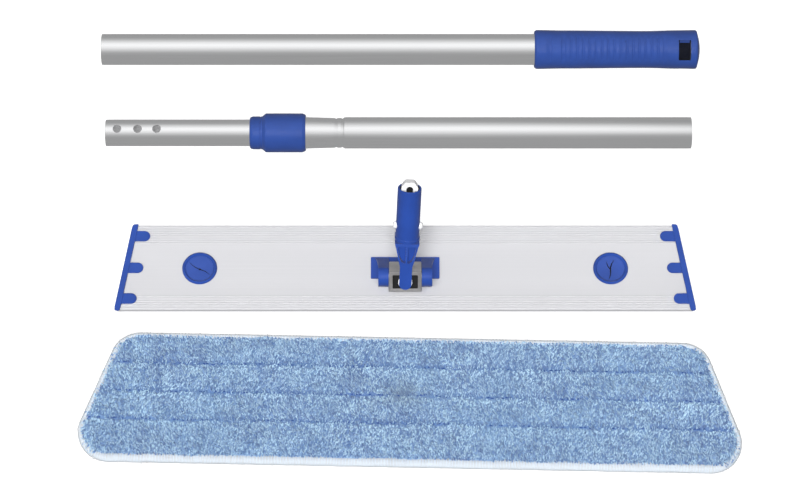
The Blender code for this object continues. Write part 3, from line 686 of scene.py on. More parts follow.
def inner_tube():
    low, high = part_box("inner_tube")
    radius = (high.z - low.z) / 2
    tube = turned(tube_profile(low.x, high.x, radius, INNER_WALL))
    for step in HOLE_STEPS:
        drill = upright(rod(HOLE_R, -20 * MM, 20 * MM, 40))
        drill.transform(Matrix.Rotation(HOLE_TILT, 4, "X"))
        tube = cut(tube, placed(drill, (low.x + step, 0, 0)))
    spot = middle("inner_tube")
    thing = pole_piece("pole_inner_tube", "inner_tube", tube, "tube bore", "inner_pole",
                       edge=0.4 * MM)
    second_look(thing, Matrix.Translation((0, spot.y, spot.z)),
                lambda at: math.hypot(at.y, at.z) < radius - INNER_WALL * 0.6)


# ---------------------------------------------------------------- head

RIB_PITCH = 2.6 * MM
REAR_RIBS = 8
FRONT_RIBS = 6
RIB_INSET = 2.2 * MM
RIB_HALF = 0.55 * MM
RIB_HEIGHT = 0.3 * MM
RIB_FORM = ((-1.5, 0), (-1, 0.12), (-0.7, 0.6), (-0.3, 1), (0.3, 1), (0.7, 0.6), (1, 0.12), (1.5, 0))
PLATE_WALL = 1.2 * MM
PLATE_CELLS = 4
CAP_WALL = 2.2 * MM
CAP_BAR = 6.0 * MM
CAP_OVERHANG = 1.6 * MM
FINGER_REACH = 20.7 * MM
FINGER_HALF = 5.8 * MM
FINGER_STEPS = (-36.0 * MM, -1.2 * MM, 35.0 * MM)
HEAD_TAPER = 16.0 / 96.0

head_low, head_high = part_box("frame_plate")
HEAD_X = (head_low.x + head_high.x) / 2
PLATE_FRONT, PLATE_BACK = head_low.y, head_high.y
PLATE_LOW = head_low.z
PLATE_TOP = head_high.z - RIB_HEIGHT
CAP_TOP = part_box("end_cap_right")[1].z
HALF_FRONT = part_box("end_cap_right")[1].x - HEAD_X - CAP_OVERHANG * HEAD_TAPER


def half_length(y):
    """Half the head's length at a place between its back and its longer front edge."""
    return HALF_FRONT - HEAD_TAPER * (y - PLATE_FRONT)


def slanted(y_low, y_high, inset):
    low, high = half_length(y_low) - inset, half_length(y_high) - inset
    return [(-low, y_low), (low, y_low), (high, y_high), (-high, y_high)]


def ribbed_top():
    """The plate's upper outline from front to back, with two groups of low rounded ribs."""
    points = offsets((PLATE_FRONT, PLATE_TOP), ((0, -1.4), (0.4, -0.4), (1.35, 0)))
    rear = PLATE_BACK - RIB_INSET - (REAR_RIBS - 1) * RIB_PITCH
    for first, count in ((PLATE_FRONT + RIB_INSET, FRONT_RIBS), (rear, REAR_RIBS)):
        for rib in range(count):
            spot = first + rib * RIB_PITCH
            points += [(spot + side * RIB_HALF, PLATE_TOP + level * RIB_HEIGHT) for side, level in RIB_FORM]
    return points + offsets((PLATE_BACK, PLATE_TOP), ((-0.3, 0), (0, -0.3)))


def frame_plate():
    """The ribbed extrusion with its closed cells, cut at a slant at both ends and holed for the grippers."""
    reach = HALF_FRONT + 10 * MM
    profile = offsets((PLATE_BACK, PLATE_LOW), ((0, 0.3), (-0.3, 0)))
    profile += offsets((PLATE_FRONT, PLATE_LOW), ((1.1, 0), (0, 1.1))) + ribbed_top()
    ends = prism(slanted(PLATE_FRONT - MM, PLATE_BACK + MM, CAP_WALL + GAP), 0.0, CAP_TOP)
    plate = combined(prism_along_x(profile, -reach, reach), ends, "INTERSECT")
    cell = (PLATE_BACK - PLATE_FRONT - PLATE_WALL) / PLATE_CELLS
    for number in range(PLATE_CELLS):
        low = PLATE_FRONT + PLATE_WALL + number * cell
        hollow = rectangle(low, low + cell - PLATE_WALL, PLATE_LOW + PLATE_WALL, PLATE_TOP - PLATE_WALL)
        plate = cut(plate, prism_along_x(rounded(hollow, 0.5 * MM), -reach, reach))
    for side in ("left", "right"):
        low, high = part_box("cloth_gripper_rim_" + side)
        spot = (low + high) / 2
        hole = upright(rod((high.x - low.x) / 2 - 2.3 * MM, 0.0, 2 * CAP_TOP, 64))
        plate = cut(plate, placed(hole, (spot.x - HEAD_X, spot.y, 0)))
    piece("head_plate", placed(plate, (HEAD_X, 0, 0)), "plate", "head", "frame_plate", smooth=25.0)


def end_cap(side):
    """An end cap: a bar along the slanted end, three round-tipped fingers on the plate and an outer wall."""
    front, back = PLATE_FRONT - CAP_OVERHANG, PLATE_BACK + 0.6 * MM
    seat = PLATE_TOP + RIB_HEIGHT + GAP
    bar = [(half_length(front) - CAP_BAR, front, 2.9 * MM), (half_length(front), front, 2.9 * MM),
           (half_length(back), back, 3.6 * MM), (half_length(back) - CAP_BAR, back, 0.6 * MM)]
    parts = [prism(rounded(bar, 0.0, 8), seat, CAP_TOP)]
    for step in FINGER_STEPS:
        y = (PLATE_FRONT + PLATE_BACK) / 2 + step
        tip = half_length(y) - FINGER_REACH + FINGER_HALF
        finger = [(half_length(y) - 2 * MM, y - FINGER_HALF), (half_length(y) - 2 * MM, y + FINGER_HALF)]
        finger += arc((tip, y), FINGER_HALF, 90.0, 270.0, 20)
        parts.append(prism(finger, seat, CAP_TOP - 0.25 * MM))
    low, high = front + 4.2 * MM, back - 3.4 * MM
    wall = [(half_length(low), low), (half_length(high), high), (half_length(high) - CAP_WALL, high),
            (half_length(low) - CAP_WALL, low)]
    parts.append(prism(wall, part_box("end_cap_right")[0].z, CAP_TOP - 0.5 * MM))
    cap = joined(*parts)
    if side == "left":
        cap = mirrored(cap)
    piece("head_end_cap_" + side, placed(cap, (HEAD_X, 0, 0)), "blue", "head", "end_cap_" + side,
          edge=0.8 * MM)


def gripper_piece(name, node, profile, look, sides=SIDES, **finish):
    """A piece turned about a gripper's upright axis, from a profile of (Z, radius) points."""
    spot = middle(node)
    shape = placed(upright(turned(profile, sides)), (spot.x, spot.y, 0))
    piece(name, shape, look, "head", **finish)


def gripper_rim(side):
    node = "cloth_gripper_rim_" + side
    low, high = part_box(node)
    radius = (high.x - low.x) / 2
    seat = PLATE_TOP + RIB_HEIGHT + 0.1 * MM
    profile = offsets((low.z, radius), ((0, -3.7, 0), (0, -2.6, 0.3)))
    profile += offsets((seat, radius), ((0, -2.6, 0), (0, 0, 0.3), (0.7, 0, 0.5)))
    profile += offsets((high.z, radius), ((0, -1.5, 0.7), (0, -2.0, 0.2), (-1.7, -3.9, 0.3)))
    gripper_piece("head_gripper_rim_" + side, node, rounded(profile, 0.0, 5), "blue", nodes=node, smooth=50.0)


def gripper_well(side):
    """The shallow cup under the flaps that the cloth's edge is pushed down into, near-black as painted shade
    seen through the slits.
    """
    node = "cloth_gripper_rim_" + side
    low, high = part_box(node)
    base, radius = low.z + 0.2 * MM, (high.x - low.x) / 2 - 4.1 * MM
    profile = offsets((base, radius), ((0, -0.6), (0.6, 0), (1.5, 0), (1.5, -0.6), (0.9, -1.2)))
    profile = [(base, 0.0)] + profile + [(base + 0.7 * MM, 0.0)]
    gripper_piece("head_gripper_well_" + side, node, profile, "hollow", 64)


# The direction and length of each slit, the radius of the hole between them, and their width
SLITS = {
    "left": (((146.0, 13.2 * MM), (-34.0, 13.2 * MM)), 1.2 * MM, 1.3 * MM),
    "right": (((68.0, 10.6 * MM), (114.0, 9.6 * MM), (259.0, 13.2 * MM)), 0.0, 1.6 * MM),
}
SLIT_BEND = 1.0 * MM
SLIT_START = 0.3 * MM                   # how far each slit passes the middle
SLIT_TAPER = ((0, 0.5), (0.2, 0.42), (0.4, 0.36), (0.6, 0.3), (0.8, 0.24), (1, 0.1))
DISH = ((1.1, 1.0), (0, 1.0), (0.5, 0.72), (1.3, 0.4), (1.75, 0.16), (1.9, 0.0))    # mm down, share of radius


def gripper_flaps(side):
    """A dished rubber disc whose slits let a finger push the cloth's edge in."""
    slits, centre_hole, width = SLITS[side]
    node = "cloth_gripper_flaps_" + side
    low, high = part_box(node)
    radius = (high.x - low.x) / 2 + 0.4 * MM
    profile = [(low.z, 0.0), (low.z, 3 * MM)] + [(high.z - down * MM, radius * share) for down, share in DISH]
    disc = upright(turned(profile, 72))
    for turn, length in slits:
        spine = [(length * share or -SLIT_START, SLIT_BEND * math.sin(math.pi * share), width * half)
                 for share, half in SLIT_TAPER]
        outline = [(x, y - half) for x, y, half in spine] + [(x, y + half) for x, y, half in reversed(spine)]
        slit = prism(outline, 0.0, CAP_TOP)
        slit.transform(Matrix.Rotation(math.radians(turn), 4, "Z"))
        disc = cut(disc, slit)
    if centre_hole:
        disc = cut(disc, upright(rod(centre_hole, 0.0, CAP_TOP)))
    spot = middle(node)
    piece("head_gripper_flaps_" + side, placed(disc, (spot.x, spot.y, 0)), "rubber", "head", node,
          edge=0.25 * MM)


def hook_strip(end):
    """A woven strip of hooks glued under the plate."""
    low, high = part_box("hook_strip_" + end)
    inset = half_length(low.y) - (high.x - HEAD_X)
    strip = prism(rounded(slanted(low.y, high.y, inset), 1.2 * MM), low.z + 0.2 * MM, high.z)
    piece("head_hook_strip_" + end, placed(strip, (HEAD_X, 0, 0)), "hook", "head", "hook_strip_" + end,
          edge=0.3 * MM)


# ---------------------------------------------------------------- handle joint

EAR_R = 10.0 * MM
EAR_INNER = 17.0 * MM
EAR_OUTER = 27.7 * MM
FLARE_WIDTH = 4.6 * MM
FLARE_LENGTH = 14 * MM
BASE_FRONT = -35.4 * MM
BASE_THICK = 2.3 * MM
PIN_HOLE = 3.3 * MM
BRACKET_HALF = 35.5 * MM
NOTCH_HALF = 9.0 * MM
NOTCH_BACK = -31.5 * MM
WINDOW_X = 13.0 * MM
WINDOW_Z = 7.8 * MM
WINDOW_DEPTH = 7.5 * MM
BOSS_R = 7.3 * MM
PRONG_R = 6.2 * MM
CROTCH = 20.0 * MM
SHOULDER_LOW = 43.5 * MM
SHOULDER_TOP = 47.5 * MM
SHOULDER_R = 12.9 * MM
SPIGOT_R = 12.2 * MM
SPIGOT_BORE = 10.2 * MM
CROWN = ((1.0, 24.4), (3.2, 24.4), (5.8, 26.8), (7.9, 31.5), (9.4, 41.2), (1.0, 41.2))
CROWN_DEPTH = 6.2 * MM
BUTTON_AT = 59.8 * MM
BUTTON_R = 4.0 * MM
CLIP_OUT = 8.4 * MM
CLIP_IN = 3.5 * MM


def notched_base(front, back):
    """The bracket's base plate, with a notch between the ears that the socket's rear prong swings in."""
    return [(-BRACKET_HALF, front), (-NOTCH_HALF, front), (-NOTCH_HALF, NOTCH_BACK), (NOTCH_HALF, NOTCH_BACK),
            (NOTCH_HALF, front), (BRACKET_HALF, front), (BRACKET_HALF, back), (-BRACKET_HALF, back)]


def ear_flare(ear, back, low):
    """The right ear's outer side sweeping out into the base at the back."""
    sweep = [(EAR_OUTER - 2 * MM, back - FLARE_LENGTH), (EAR_OUTER, back - FLARE_LENGTH)]
    sweep += [(EAR_OUTER + FLARE_WIDTH * share ** 2.2, back - FLARE_LENGTH * (1 - share))
              for share in (0.35, 0.6, 0.8, 1.0)]
    sweep += [(EAR_OUTER - 2 * MM, back)]
    side = prism_along_x(ear, EAR_OUTER - 3 * MM, EAR_OUTER + 6 * MM)
    return combined(side, prism(sweep, low, 60 * MM), "INTERSECT")


def joint_bracket():
    """A base plate with two rounded ears that carry the tilt axis ahead of the base."""
    pivot = BLOCK_PLACE.translation
    low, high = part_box("joint_bracket")
    back, base_top = high.y, low.z + BASE_THICK
    points = arc((pivot.y, pivot.z), EAR_R, 0.0, 352.5, 47)
    points += [(back - MM, low.z), (back - MM, base_top), (low.y + 6.8 * MM, low.z)]
    ear = [points[index] for index in convex_hull_2d([Vector(point) for point in points])]
    bracket = prism(rounded(notched_base(BASE_FRONT, back), 1.0 * MM), low.z, base_top)
    bracket = joined(bracket, prism_along_x(ear, EAR_INNER, EAR_OUTER),
                     prism_along_x(ear, -EAR_OUTER, -EAR_INNER),
                     ear_flare(ear, back, low.z), mirrored(ear_flare(ear, back, low.z)))
    bracket = cut(bracket, placed(rod(PIN_HOLE, -EAR_OUTER - MM, EAR_OUTER + MM), (0, pivot.y, pivot.z)))
    piece("joint_bracket_shell", placed(bracket, (pivot.x, 0, 0)), "blue", "head", "joint_bracket",
          edge=1.1 * MM)


def cross_block():
    """A cast block with a window front and back, a boss in each, and a pin hole through both."""
    x, y, z = local_box("cross_block", BLOCK_PLACE)[1]
    shape = prism(rounded(rectangle(-x, x, -y, y), 1.0 * MM), -z, z)
    wide, deep = x + 0.5 * MM, y + 0.5 * MM
    shape = joined(shape, prism(rounded(rectangle(-wide, wide, -deep, deep), 1.0 * MM), -z, -z + 2.0 * MM))
    floor = y - WINDOW_DEPTH
    opening = rounded(rectangle(-WINDOW_X, WINDOW_X, -WINDOW_Z, WINDOW_Z), 1.2 * MM)
    for start, stop in ((floor, y + 2 * MM), (-y - 2 * MM, -floor)):
        boss = crosswise(rod(BOSS_R, min(start, -y) - MM, max(stop, y) + MM, 48))
        shape = cut(shape, cut(prism_along_y(opening, start, stop), boss))
    shape = cut(shape, crosswise(rod(PIN_HOLE, -y - MM, y + MM)))
    thing = piece("joint_cross_block", placed(shape, BLOCK_PLACE), "cast dark", "cross",
                  "cross_block", edge=0.5 * MM)
    # The insides of the windows get the near-black dark look: painted shade in the deep recesses.
    second_look(thing, BLOCK_PLACE, lambda at: abs(at.x) < WINDOW_X + 0.1 * MM
                and abs(at.z) < WINDOW_Z + 0.1 * MM and abs(at.y) < y - 0.8 * MM)


def fork():
    """The socket's lower end: two prongs astride the block, widening like a fan into the shoulder."""
    fan = [(PRONG_R + 0.1 * MM, CROTCH)]
    fan += offsets((0.0, 0.0), ((7.4, 24.4), (8.5, 28), (9.5, 33), (11.2, 40)))
    fan += [(12.6 * MM, SHOULDER_LOW + MM)]
    front = arc((0.0, 0.0), PRONG_R, 180.0, 360.0, 32) + fan + [(-x, z) for x, z in reversed(fan)]
    outer = local_box("handle_socket", SOCKET_PLACE)[1].y
    inner = outer - 4.15 * MM
    low = -PRONG_R - MM
    side = [(inner, low), (outer, low), (outer, 26 * MM), (outer - 0.6 * MM, 29 * MM),
            (12.9 * MM, SHOULDER_LOW + MM)]
    side += [(-y, z) for y, z in reversed(side)]
    side += arc((-inner + 3 * MM, CROTCH - 3 * MM), 3 * MM, 180.0, 90.0, 6)
    side += arc((inner - 3 * MM, CROTCH - 3 * MM), 3 * MM, 90.0, 0.0, 6)
    reach = 20 * MM
    return combined(prism_along_x(side, -reach, reach), prism_along_y(front, -reach, reach), "INTERSECT")


def handle_socket():
    """The fork, its shoulder and the hollow spigot, with teardrop hollows beside the crown's middle rib."""
    low, high = local_box("handle_socket", SOCKET_PLACE)
    rim = high.z
    floor = SHOULDER_TOP + 2 * MM
    profile = [(SHOULDER_LOW - 0.6 * MM, 0.0)]
    for start, table in (((SHOULDER_LOW, SHOULDER_R), ((-0.6, -1.4), (0, -0.5), (0.8, 0))),
                         ((SHOULDER_TOP, SHOULDER_R), ((-0.7, 0), (0, -0.7))),
                         ((SHOULDER_TOP, SPIGOT_R), ((0, 0.3), (0.5, 0))),
                         ((rim, SPIGOT_R), ((-0.7, 0), (-0.2, -0.3), (0, -0.7))),
                         ((rim, SPIGOT_BORE), ((0, 0.4), (-0.4, 0)))):
        profile += offsets(start, table)
    profile += [(floor, SPIGOT_BORE), (floor, 0.0)]
    socket = joined(fork(), upright(turned(profile, 80)))
    near, far = high.y - CROWN_DEPTH, high.y + 4 * MM
    crown = offsets((0.0, 0.0), CROWN)
    for start, stop in ((-far, -near), (near, far)):
        socket = cut(socket, prism_along_y(crown, start, stop), mirrored(prism_along_y(crown, start, stop)))
    button_hole = placed(rod(BUTTON_R + 0.7 * MM, -15 * MM, 15 * MM, 40), (0, 0, BUTTON_AT))
    socket = cut(socket, crosswise(rod(PIN_HOLE, -high.y + 0.7 * MM, high.y - 0.7 * MM)), button_hole)
    thing = piece("joint_handle_socket", placed(socket, SOCKET_PLACE), "blue dark",
                  "socket", "handle_socket", edge=0.55 * MM)
    # The inside of the spigot's bore gets the near-black dark look: painted shade.
    second_look(thing, SOCKET_PLACE, lambda at: math.hypot(at.x, at.y) < SPIGOT_BORE + 0.1 * MM
                and floor - MM < at.z < rim - 1.5 * MM)


def washers():
    e = 0.15 * MM
    for side in ("front", "back"):
        node = "swivel_washer_" + side
        low, high = local_box(node, SOCKET_PLACE)
        profile = [(low.y, PIN_HOLE), (low.y, high.z - e), (low.y + e, high.z), (high.y - e, high.z),
                   (high.y, high.z - e), (high.y, PIN_HOLE)]
        shape = placed(crosswise(turned(profile, 64)), SOCKET_PLACE)
        piece("joint_washer_" + side, shape, "white", "socket", node)


def clip_bend():
    """The arch of the button clip, which stands out of the spigot."""
    low, high = local_box("clip_bend", SOCKET_PLACE)
    depth, top, foot = high.y, high.z, low.z
    outer = [(CLIP_OUT, foot), (CLIP_OUT, top - 5.4 * MM), (CLIP_OUT - 3.9 * MM, top)]
    outer = rounded(outer + [(-x, z) for x, z in reversed(outer)], 2.6 * MM, 6)
    outer = [point for point in outer if point[1] > foot + 1e-6]
    outer = [(CLIP_OUT, foot)] + outer + [(-CLIP_OUT, foot)]
    inner = arc((0.0, top - 4.5 * MM - CLIP_IN), CLIP_IN, 180.0, 0.0, 20)
    inner = [(-CLIP_IN, foot)] + inner + [(CLIP_IN, foot)]
    shape = placed(prism_along_y(outer + inner, -depth, depth), SOCKET_PLACE)
    piece("joint_clip_bend", shape, "white", "socket", "clip_bend", edge=0.7 * MM)


def clip_leg(side):
    """A spring leg of the clip with its button."""
    low, high = local_box("clip_leg_right", SOCKET_PLACE)
    slim, thick = CLIP_OUT - 2.5 * MM, 4.6 * MM
    outline = [(CLIP_OUT, low.z), (CLIP_OUT, high.z), (CLIP_IN, high.z), (slim, 88 * MM),
               (slim, BUTTON_AT + 8 * MM), (thick, BUTTON_AT + 5 * MM), (thick, low.z)]
    profile = [(CLIP_OUT - MM, 0.0), (CLIP_OUT - MM, BUTTON_R)]
    profile += offsets((high.x, BUTTON_R), ((-2.0, 0), (-1.0, -0.5), (-0.35, -1.3), (0, -2.6)))
    profile += [(high.x, 0.0)]
    leg = joined(prism_along_y(outline, low.y, high.y), placed(turned(profile, 48), (0, 0, BUTTON_AT)))
    if side == "left":
        leg = mirrored(leg)
    piece("joint_clip_leg_" + side, placed(leg, SOCKET_PLACE), "white", side + "_button",
          "clip_leg_" + side, edge=0.35 * MM)


# ---------------------------------------------------------------- pad

PAD_TURN = math.radians(-1.2)
PAD_HALF_BACK = 299.0 * MM
PAD_HALF_FRONT = 350.0 * MM
PAD_CORNERS = (30.0 * MM, 32.0 * MM)    # radius at the back, at the front
SEAMS = (-24.5 * MM, 6.2 * MM, 37.4 * MM)
BINDING = 5.0 * MM
FACE_INSET = BINDING - 1.5 * MM
FACE_CELL = 4.0 * MM
FACE_LOW = 1.7 * MM
FACE_EDGE = 5.6 * MM
FACE_SEAM = 4.9 * MM
FACE_RISE = 2.2 * MM
FACE_SWELL = 2.4 * MM                   # the most that the quilting may add
BACKING_INSET = 3.0 * MM
TUFT_PITCH = (1.6 * MM, 1.65 * MM)
TUFT_RADIUS = 0.72 * MM
TUFT_LENGTH = (2.4, 4.4)                # mm
TUFT_HEIGHT = (1.2, 3.3)                # mm
FLECK_SHARE = 0.24                      # how many strands are dark
FLECK_SIZE = 1.35                       # the dark strands are this many times thicker
STITCH_PITCH = 4.8 * MM
# Each point of a stitch: its place along the stitch's length, mm up and mm of radius
STITCH_FORM = ((-0.5, -0.3, 0.4), (-0.25, 0.55, 0.72), (0.25, 0.55, 0.72), (0.5, -0.3, 0.4))
STITCH_UNDER = 0.65 * MM
LOOP_PITCH = 1.5 * MM
LOOSE_LOOPS = 0.05
FRONT_BAND = 7.4 * MM                   # how wide the white edge shows at the front
PILE_PAST = (4.0 * MM, 4.2 * MM)        # how far the pile passes the binding's inner edge, at back and ends
# A greyish patch laid over the pile's colour: where it lies, its half size and how strongly it shows. Its
# cause is not known.
GREY_PATCH_AT = (-6.0 * MM, -162.0 * MM)
GREY_PATCH_HALF = (21.0 * MM, 13.0 * MM)
GREY_PATCH_MOST = 0.42


def pad_axes():
    """The pad's own axes, with its middle on the floor, and its depth."""
    turn = Matrix.Rotation(PAD_TURN, 4, "Z")
    low, high = local_box("pad_binding", turn)
    return turn @ Matrix.Translation(((low.x + high.x) / 2, (low.y + high.y) / 2, 0.0)), high.y - low.y


PAD_PLACE, PAD_DEPTH = pad_axes()
PAD_LEAN = (PAD_HALF_FRONT - PAD_HALF_BACK) / PAD_DEPTH
PAD_SLANT = math.atan(PAD_LEAN)


def pad_half(y, inset=0.0):
    """Half the pad's length at each depth, drawn in from its edge by an inset, with its corners rounded."""
    y = np.asarray(y, float)
    lean = math.cos(PAD_SLANT)

    def straight(at):
        return (PAD_HALF_FRONT + PAD_HALF_BACK) / 2 - PAD_LEAN * at - inset / lean

    half = straight(y)
    for side, corner in ((1.0, PAD_CORNERS[0]), (-1.0, PAD_CORNERS[1])):
        radius = corner - inset
        centre = side * (PAD_DEPTH / 2 - inset - radius)
        bend = straight(centre) - radius / lean + np.sqrt(np.maximum(radius**2 - (y - centre)**2, 0.0))
        half = np.where(side * (y - centre) > side * radius * math.sin(PAD_SLANT), bend, half)
    return half


def pad_loop(inset, step):
    """Evenly spaced points round the pad's edge, each with its outward direction."""
    rows = PAD_DEPTH / 2 - inset
    share = np.sin(np.linspace(-math.pi / 2, math.pi / 2, 400))
    side = np.column_stack((pad_half(rows * share, inset), rows * share))
    loop = np.vstack((side, side[::-1] * (-1.0, 1.0), side[:1]))
    gone = np.concatenate(([0.0], np.cumsum(np.linalg.norm(np.diff(loop, axis=0), axis=1))))
    spots = np.arange(round(gone[-1] / step)) * gone[-1] / round(gone[-1] / step)
    points = np.column_stack([np.interp(spots, gone, loop[:, axis]) for axis in (0, 1)])
    along = np.roll(points, -2, axis=0) - np.roll(points, 2, axis=0)
    along /= np.linalg.norm(along, axis=1)[:, None]
    return points, np.column_stack((along[:, 1], -along[:, 0]))


def ripple(x, y, sizes, seed):
    """A smooth seeded unevenness from -1 to 1, from crossed waves of these sizes."""
    chance = np.random.default_rng(seed)
    total = np.zeros(np.broadcast(x, y).shape)
    for size in sizes:
        for _ in range(3):
            way, start = chance.uniform(0.0, math.tau, 2)
            total += np.sin((x * math.cos(way) + y * math.sin(way)) * math.tau / size + start)
    return total / (3 * len(sizes))


def across_channel(y):
    """Where each depth lies in its channel, from -1 at the front seam or edge to 1 at the back one."""
    marks = np.array((-PAD_DEPTH / 2 + BINDING, *SEAMS, PAD_DEPTH / 2 - BINDING))
    channel = np.clip(np.searchsorted(marks, y) - 1, 0, len(marks) - 2)
    return channel, 2 * (y - marks[channel]) / (marks[channel + 1] - marks[channel]) - 1


def face_grid():
    """The face's grid before quilting, with rows on the seams, and which of its points are sewn."""
    edge = PAD_DEPTH / 2 - FACE_INSET
    marks = (-edge, *SEAMS, edge)
    rows = [marks[0]]
    for start, stop in zip(marks, marks[1:]):
        cells = round((stop - start) / FACE_CELL)
        rows += [start + (stop - start) * number / cells for number in range(1, cells + 1)]
    rows = np.array(rows)
    half = pad_half(rows, FACE_INSET)[:, None]
    columns = np.linspace(-1.0, 1.0, 2 * round(PAD_HALF_FRONT / FACE_CELL) + 1)
    y = np.repeat(rows[:, None], len(columns), axis=1)
    x = columns[None, :] * half
    y = y + 0.9 * MM * ripple(x, 0 * x, (0.31, 0.14), 3) * (np.abs(y) < edge - MM)
    sewn = np.isin(rows, SEAMS)[:, None] | (np.abs(columns) > 0.9999)[None, :]
    sewn = sewn | (np.abs(rows) > edge - 1e-6)[:, None]
    crown = np.sqrt(np.maximum(1 - across_channel(y)[1]**2, 0))
    side = np.minimum(1.0, (half - np.abs(x)) / (9 * MM))
    z = FACE_SEAM + (FACE_RISE + 0.4 * MM * ripple(x, y, (0.09, 0.05), 4)) * crown * side
    z = np.where(np.abs(y) > edge - 1e-6, FACE_EDGE, z)
    return np.stack((x, y, z), axis=-1), sewn


def sheet_faces(rows, columns, start=0):
    index = start + np.arange(rows * columns).reshape(rows, columns)
    return np.stack((index[:-1, :-1], index[:-1, 1:], index[1:, 1:], index[1:, :-1]), axis=-1).reshape(-1, 4)


def closed_sheet(top, bottom):
    """The corners and faces of a closed mesh between two grids of the same size."""
    rows, columns = top.shape[:2]
    count = rows * columns
    index = np.arange(count).reshape(rows, columns)
    rim = np.concatenate((index[0, :], index[1:, -1], index[-1, -2::-1], index[-2:0:-1, 0]))
    after = np.roll(rim, -1)
    walls = np.stack((after, rim, rim + count, after + count), axis=-1)
    faces = np.vstack((sheet_faces(rows, columns), sheet_faces(rows, columns, count)[:, ::-1], walls))
    return np.vstack((top.reshape(-1, 3), bottom.reshape(-1, 3))), faces


def quick_mesh(name, points, *faces):
    """A mesh object from arrays of points and of faces with the same number of corners."""
    mesh = bpy.data.meshes.new(name)
    mesh.vertices.add(len(points))
    mesh.vertices.foreach_set("co", np.ascontiguousarray(points, np.float32).ravel())
    sizes = np.concatenate([np.full(len(group), group.shape[1]) for group in faces])
    mesh.loops.add(int(sizes.sum()))
    corners = np.concatenate([group.ravel() for group in faces])
    mesh.loops.foreach_set("vertex_index", corners.astype(np.int32))
    mesh.polygons.add(len(sizes))
    mesh.polygons.foreach_set("loop_start", np.concatenate(([0], np.cumsum(sizes)[:-1])).astype(np.int32))
    mesh.update(calc_edges=True)
    mesh.validate()
    return linked(name, mesh)


def pad_piece(thing, look, nodes=(), smooth=35.0):
    """A piece of the pad, made in the pad's own axes."""
    thing.data.transform(PAD_PLACE)
    return piece(thing.name, thing, look, "pad", nodes, smooth=smooth)


def with_values(thing, **values):
    for name, value in values.items():
        store = thing.data.attributes.new(name, "FLOAT", "POINT")
        store.data.foreach_set("value", np.ascontiguousarray(value, np.float32).ravel())


def quilted(grid, sewn):
    """The face blown up between its seams by a short cloth simulation; returns the same grid, moved."""
    thing = quick_mesh("quilt", grid.reshape(-1, 3), sheet_faces(*grid.shape[:2]))
    thing.vertex_groups.new(name="sewn").add([int(i) for i in np.flatnonzero(sewn)], 1.0, "REPLACE")
    cloth = thing.modifiers.new("quilting", "CLOTH").settings
    cloth.quality = 6
    cloth.mass = 0.25
    cloth.tension_stiffness = cloth.compression_stiffness = 20.0
    cloth.shear_stiffness = 8.0
    cloth.bending_stiffness = 0.4
    cloth.vertex_group_mass = "sewn"
    cloth.use_pressure = True
    cloth.uniform_pressure_force = 1.2
    cloth.shrink_min = -0.03
    cloth.effector_weights.gravity = 0.0
    scene = bpy.context.scene
    for frame_number in range(1, 21):
        scene.frame_set(frame_number)
    mesh = evaluated(thing)
    made = np.empty(len(mesh.vertices) * 3, np.float32)
    mesh.vertices.foreach_get("co", made)
    bpy.data.meshes.remove(mesh)
    bpy.data.objects.remove(thing, do_unlink=True)
    scene.frame_set(1)
    moved = made.reshape(grid.shape) - grid
    return grid + np.clip(moved, (-MM, -MM, -0.8 * MM), (MM, MM, FACE_SWELL))


def surface_at(grid, x, y):
    """Points of the face, and their upward directions, at places in the pad's axes."""
    rows = grid[:, grid.shape[1] // 2, 1]
    row = np.clip(np.interp(y, rows, np.arange(len(rows))), 0, len(rows) - 1.001)
    column = np.clip((x / pad_half(y, FACE_INSET) + 1) / 2, 0.0, 0.9999) * (grid.shape[1] - 1)
    i, j = row.astype(int), column.astype(int)
    s, t = (row - i)[:, None], (column - j)[:, None]
    a, b, c, d = grid[i, j], grid[i, j + 1], grid[i + 1, j], grid[i + 1, j + 1]
    along = b * (1 - s) + d * s - a * (1 - s) - c * s
    inward = c * (1 - t) + d * t - a * (1 - t) - b * t
    up = np.cross(along, inward)
    spot = a * (1 - s) * (1 - t) + b * (1 - s) * t + c * s * (1 - t) + d * s * t
    return spot, up / np.linalg.norm(up, axis=1)[:, None]


def strands(name, paths, radii, sideways, sides=3):
    """One mesh of many strands: paths is (strand, point, 3), radii is (strand, point)."""
    count, points = paths.shape[:2]
    along = np.gradient(paths, axis=1)
    along /= np.linalg.norm(along, axis=2, keepdims=True)
    across = sideways[:, None, :] - (sideways[:, None, :] * along).sum(axis=2, keepdims=True) * along
    across /= np.linalg.norm(across, axis=2, keepdims=True)
    up = np.cross(along, across)
    turns = np.arange(sides) * math.tau / sides
    ring = np.cos(turns)[:, None] * across[:, :, None, :] + np.sin(turns)[:, None] * up[:, :, None, :]
    made = paths[:, :, None, :] + radii[:, :, None, None] * ring
    index = np.arange(count * points * sides).reshape(count, points, sides)
    after = np.roll(index, -1, axis=2)
    quads = np.stack((index[:, :-1], after[:, :-1], after[:, 1:], index[:, 1:]), axis=-1).reshape(-1, 4)
    return quick_mesh(name, made.reshape(-1, 3), quads, index[:, -1], index[:, 0, ::-1])


def soil(spot):
    """How much of the greyish patch shows at points in the pad's axes."""
    world = spot @ np.array(PAD_PLACE.to_3x3()).T + np.array(PAD_PLACE.translation)
    away = np.hypot((world[..., 0] - GREY_PATCH_AT[0]) / GREY_PATCH_HALF[0], (world[..., 1] - GREY_PATCH_AT[1]) / GREY_PATCH_HALF[1])
    return GREY_PATCH_MOST * np.exp(-away**2) * (1 + 0.5 * ripple(world[..., 0], world[..., 1], (0.02, 0.009), 14))


def seam_distance(y):
    """How far each depth is behind the nearest seam."""
    gaps = y[..., None] - np.array(SEAMS)
    nearest = np.abs(gaps).argmin(axis=-1)
    return np.take_along_axis(gaps, nearest[..., None], axis=-1)[..., 0]


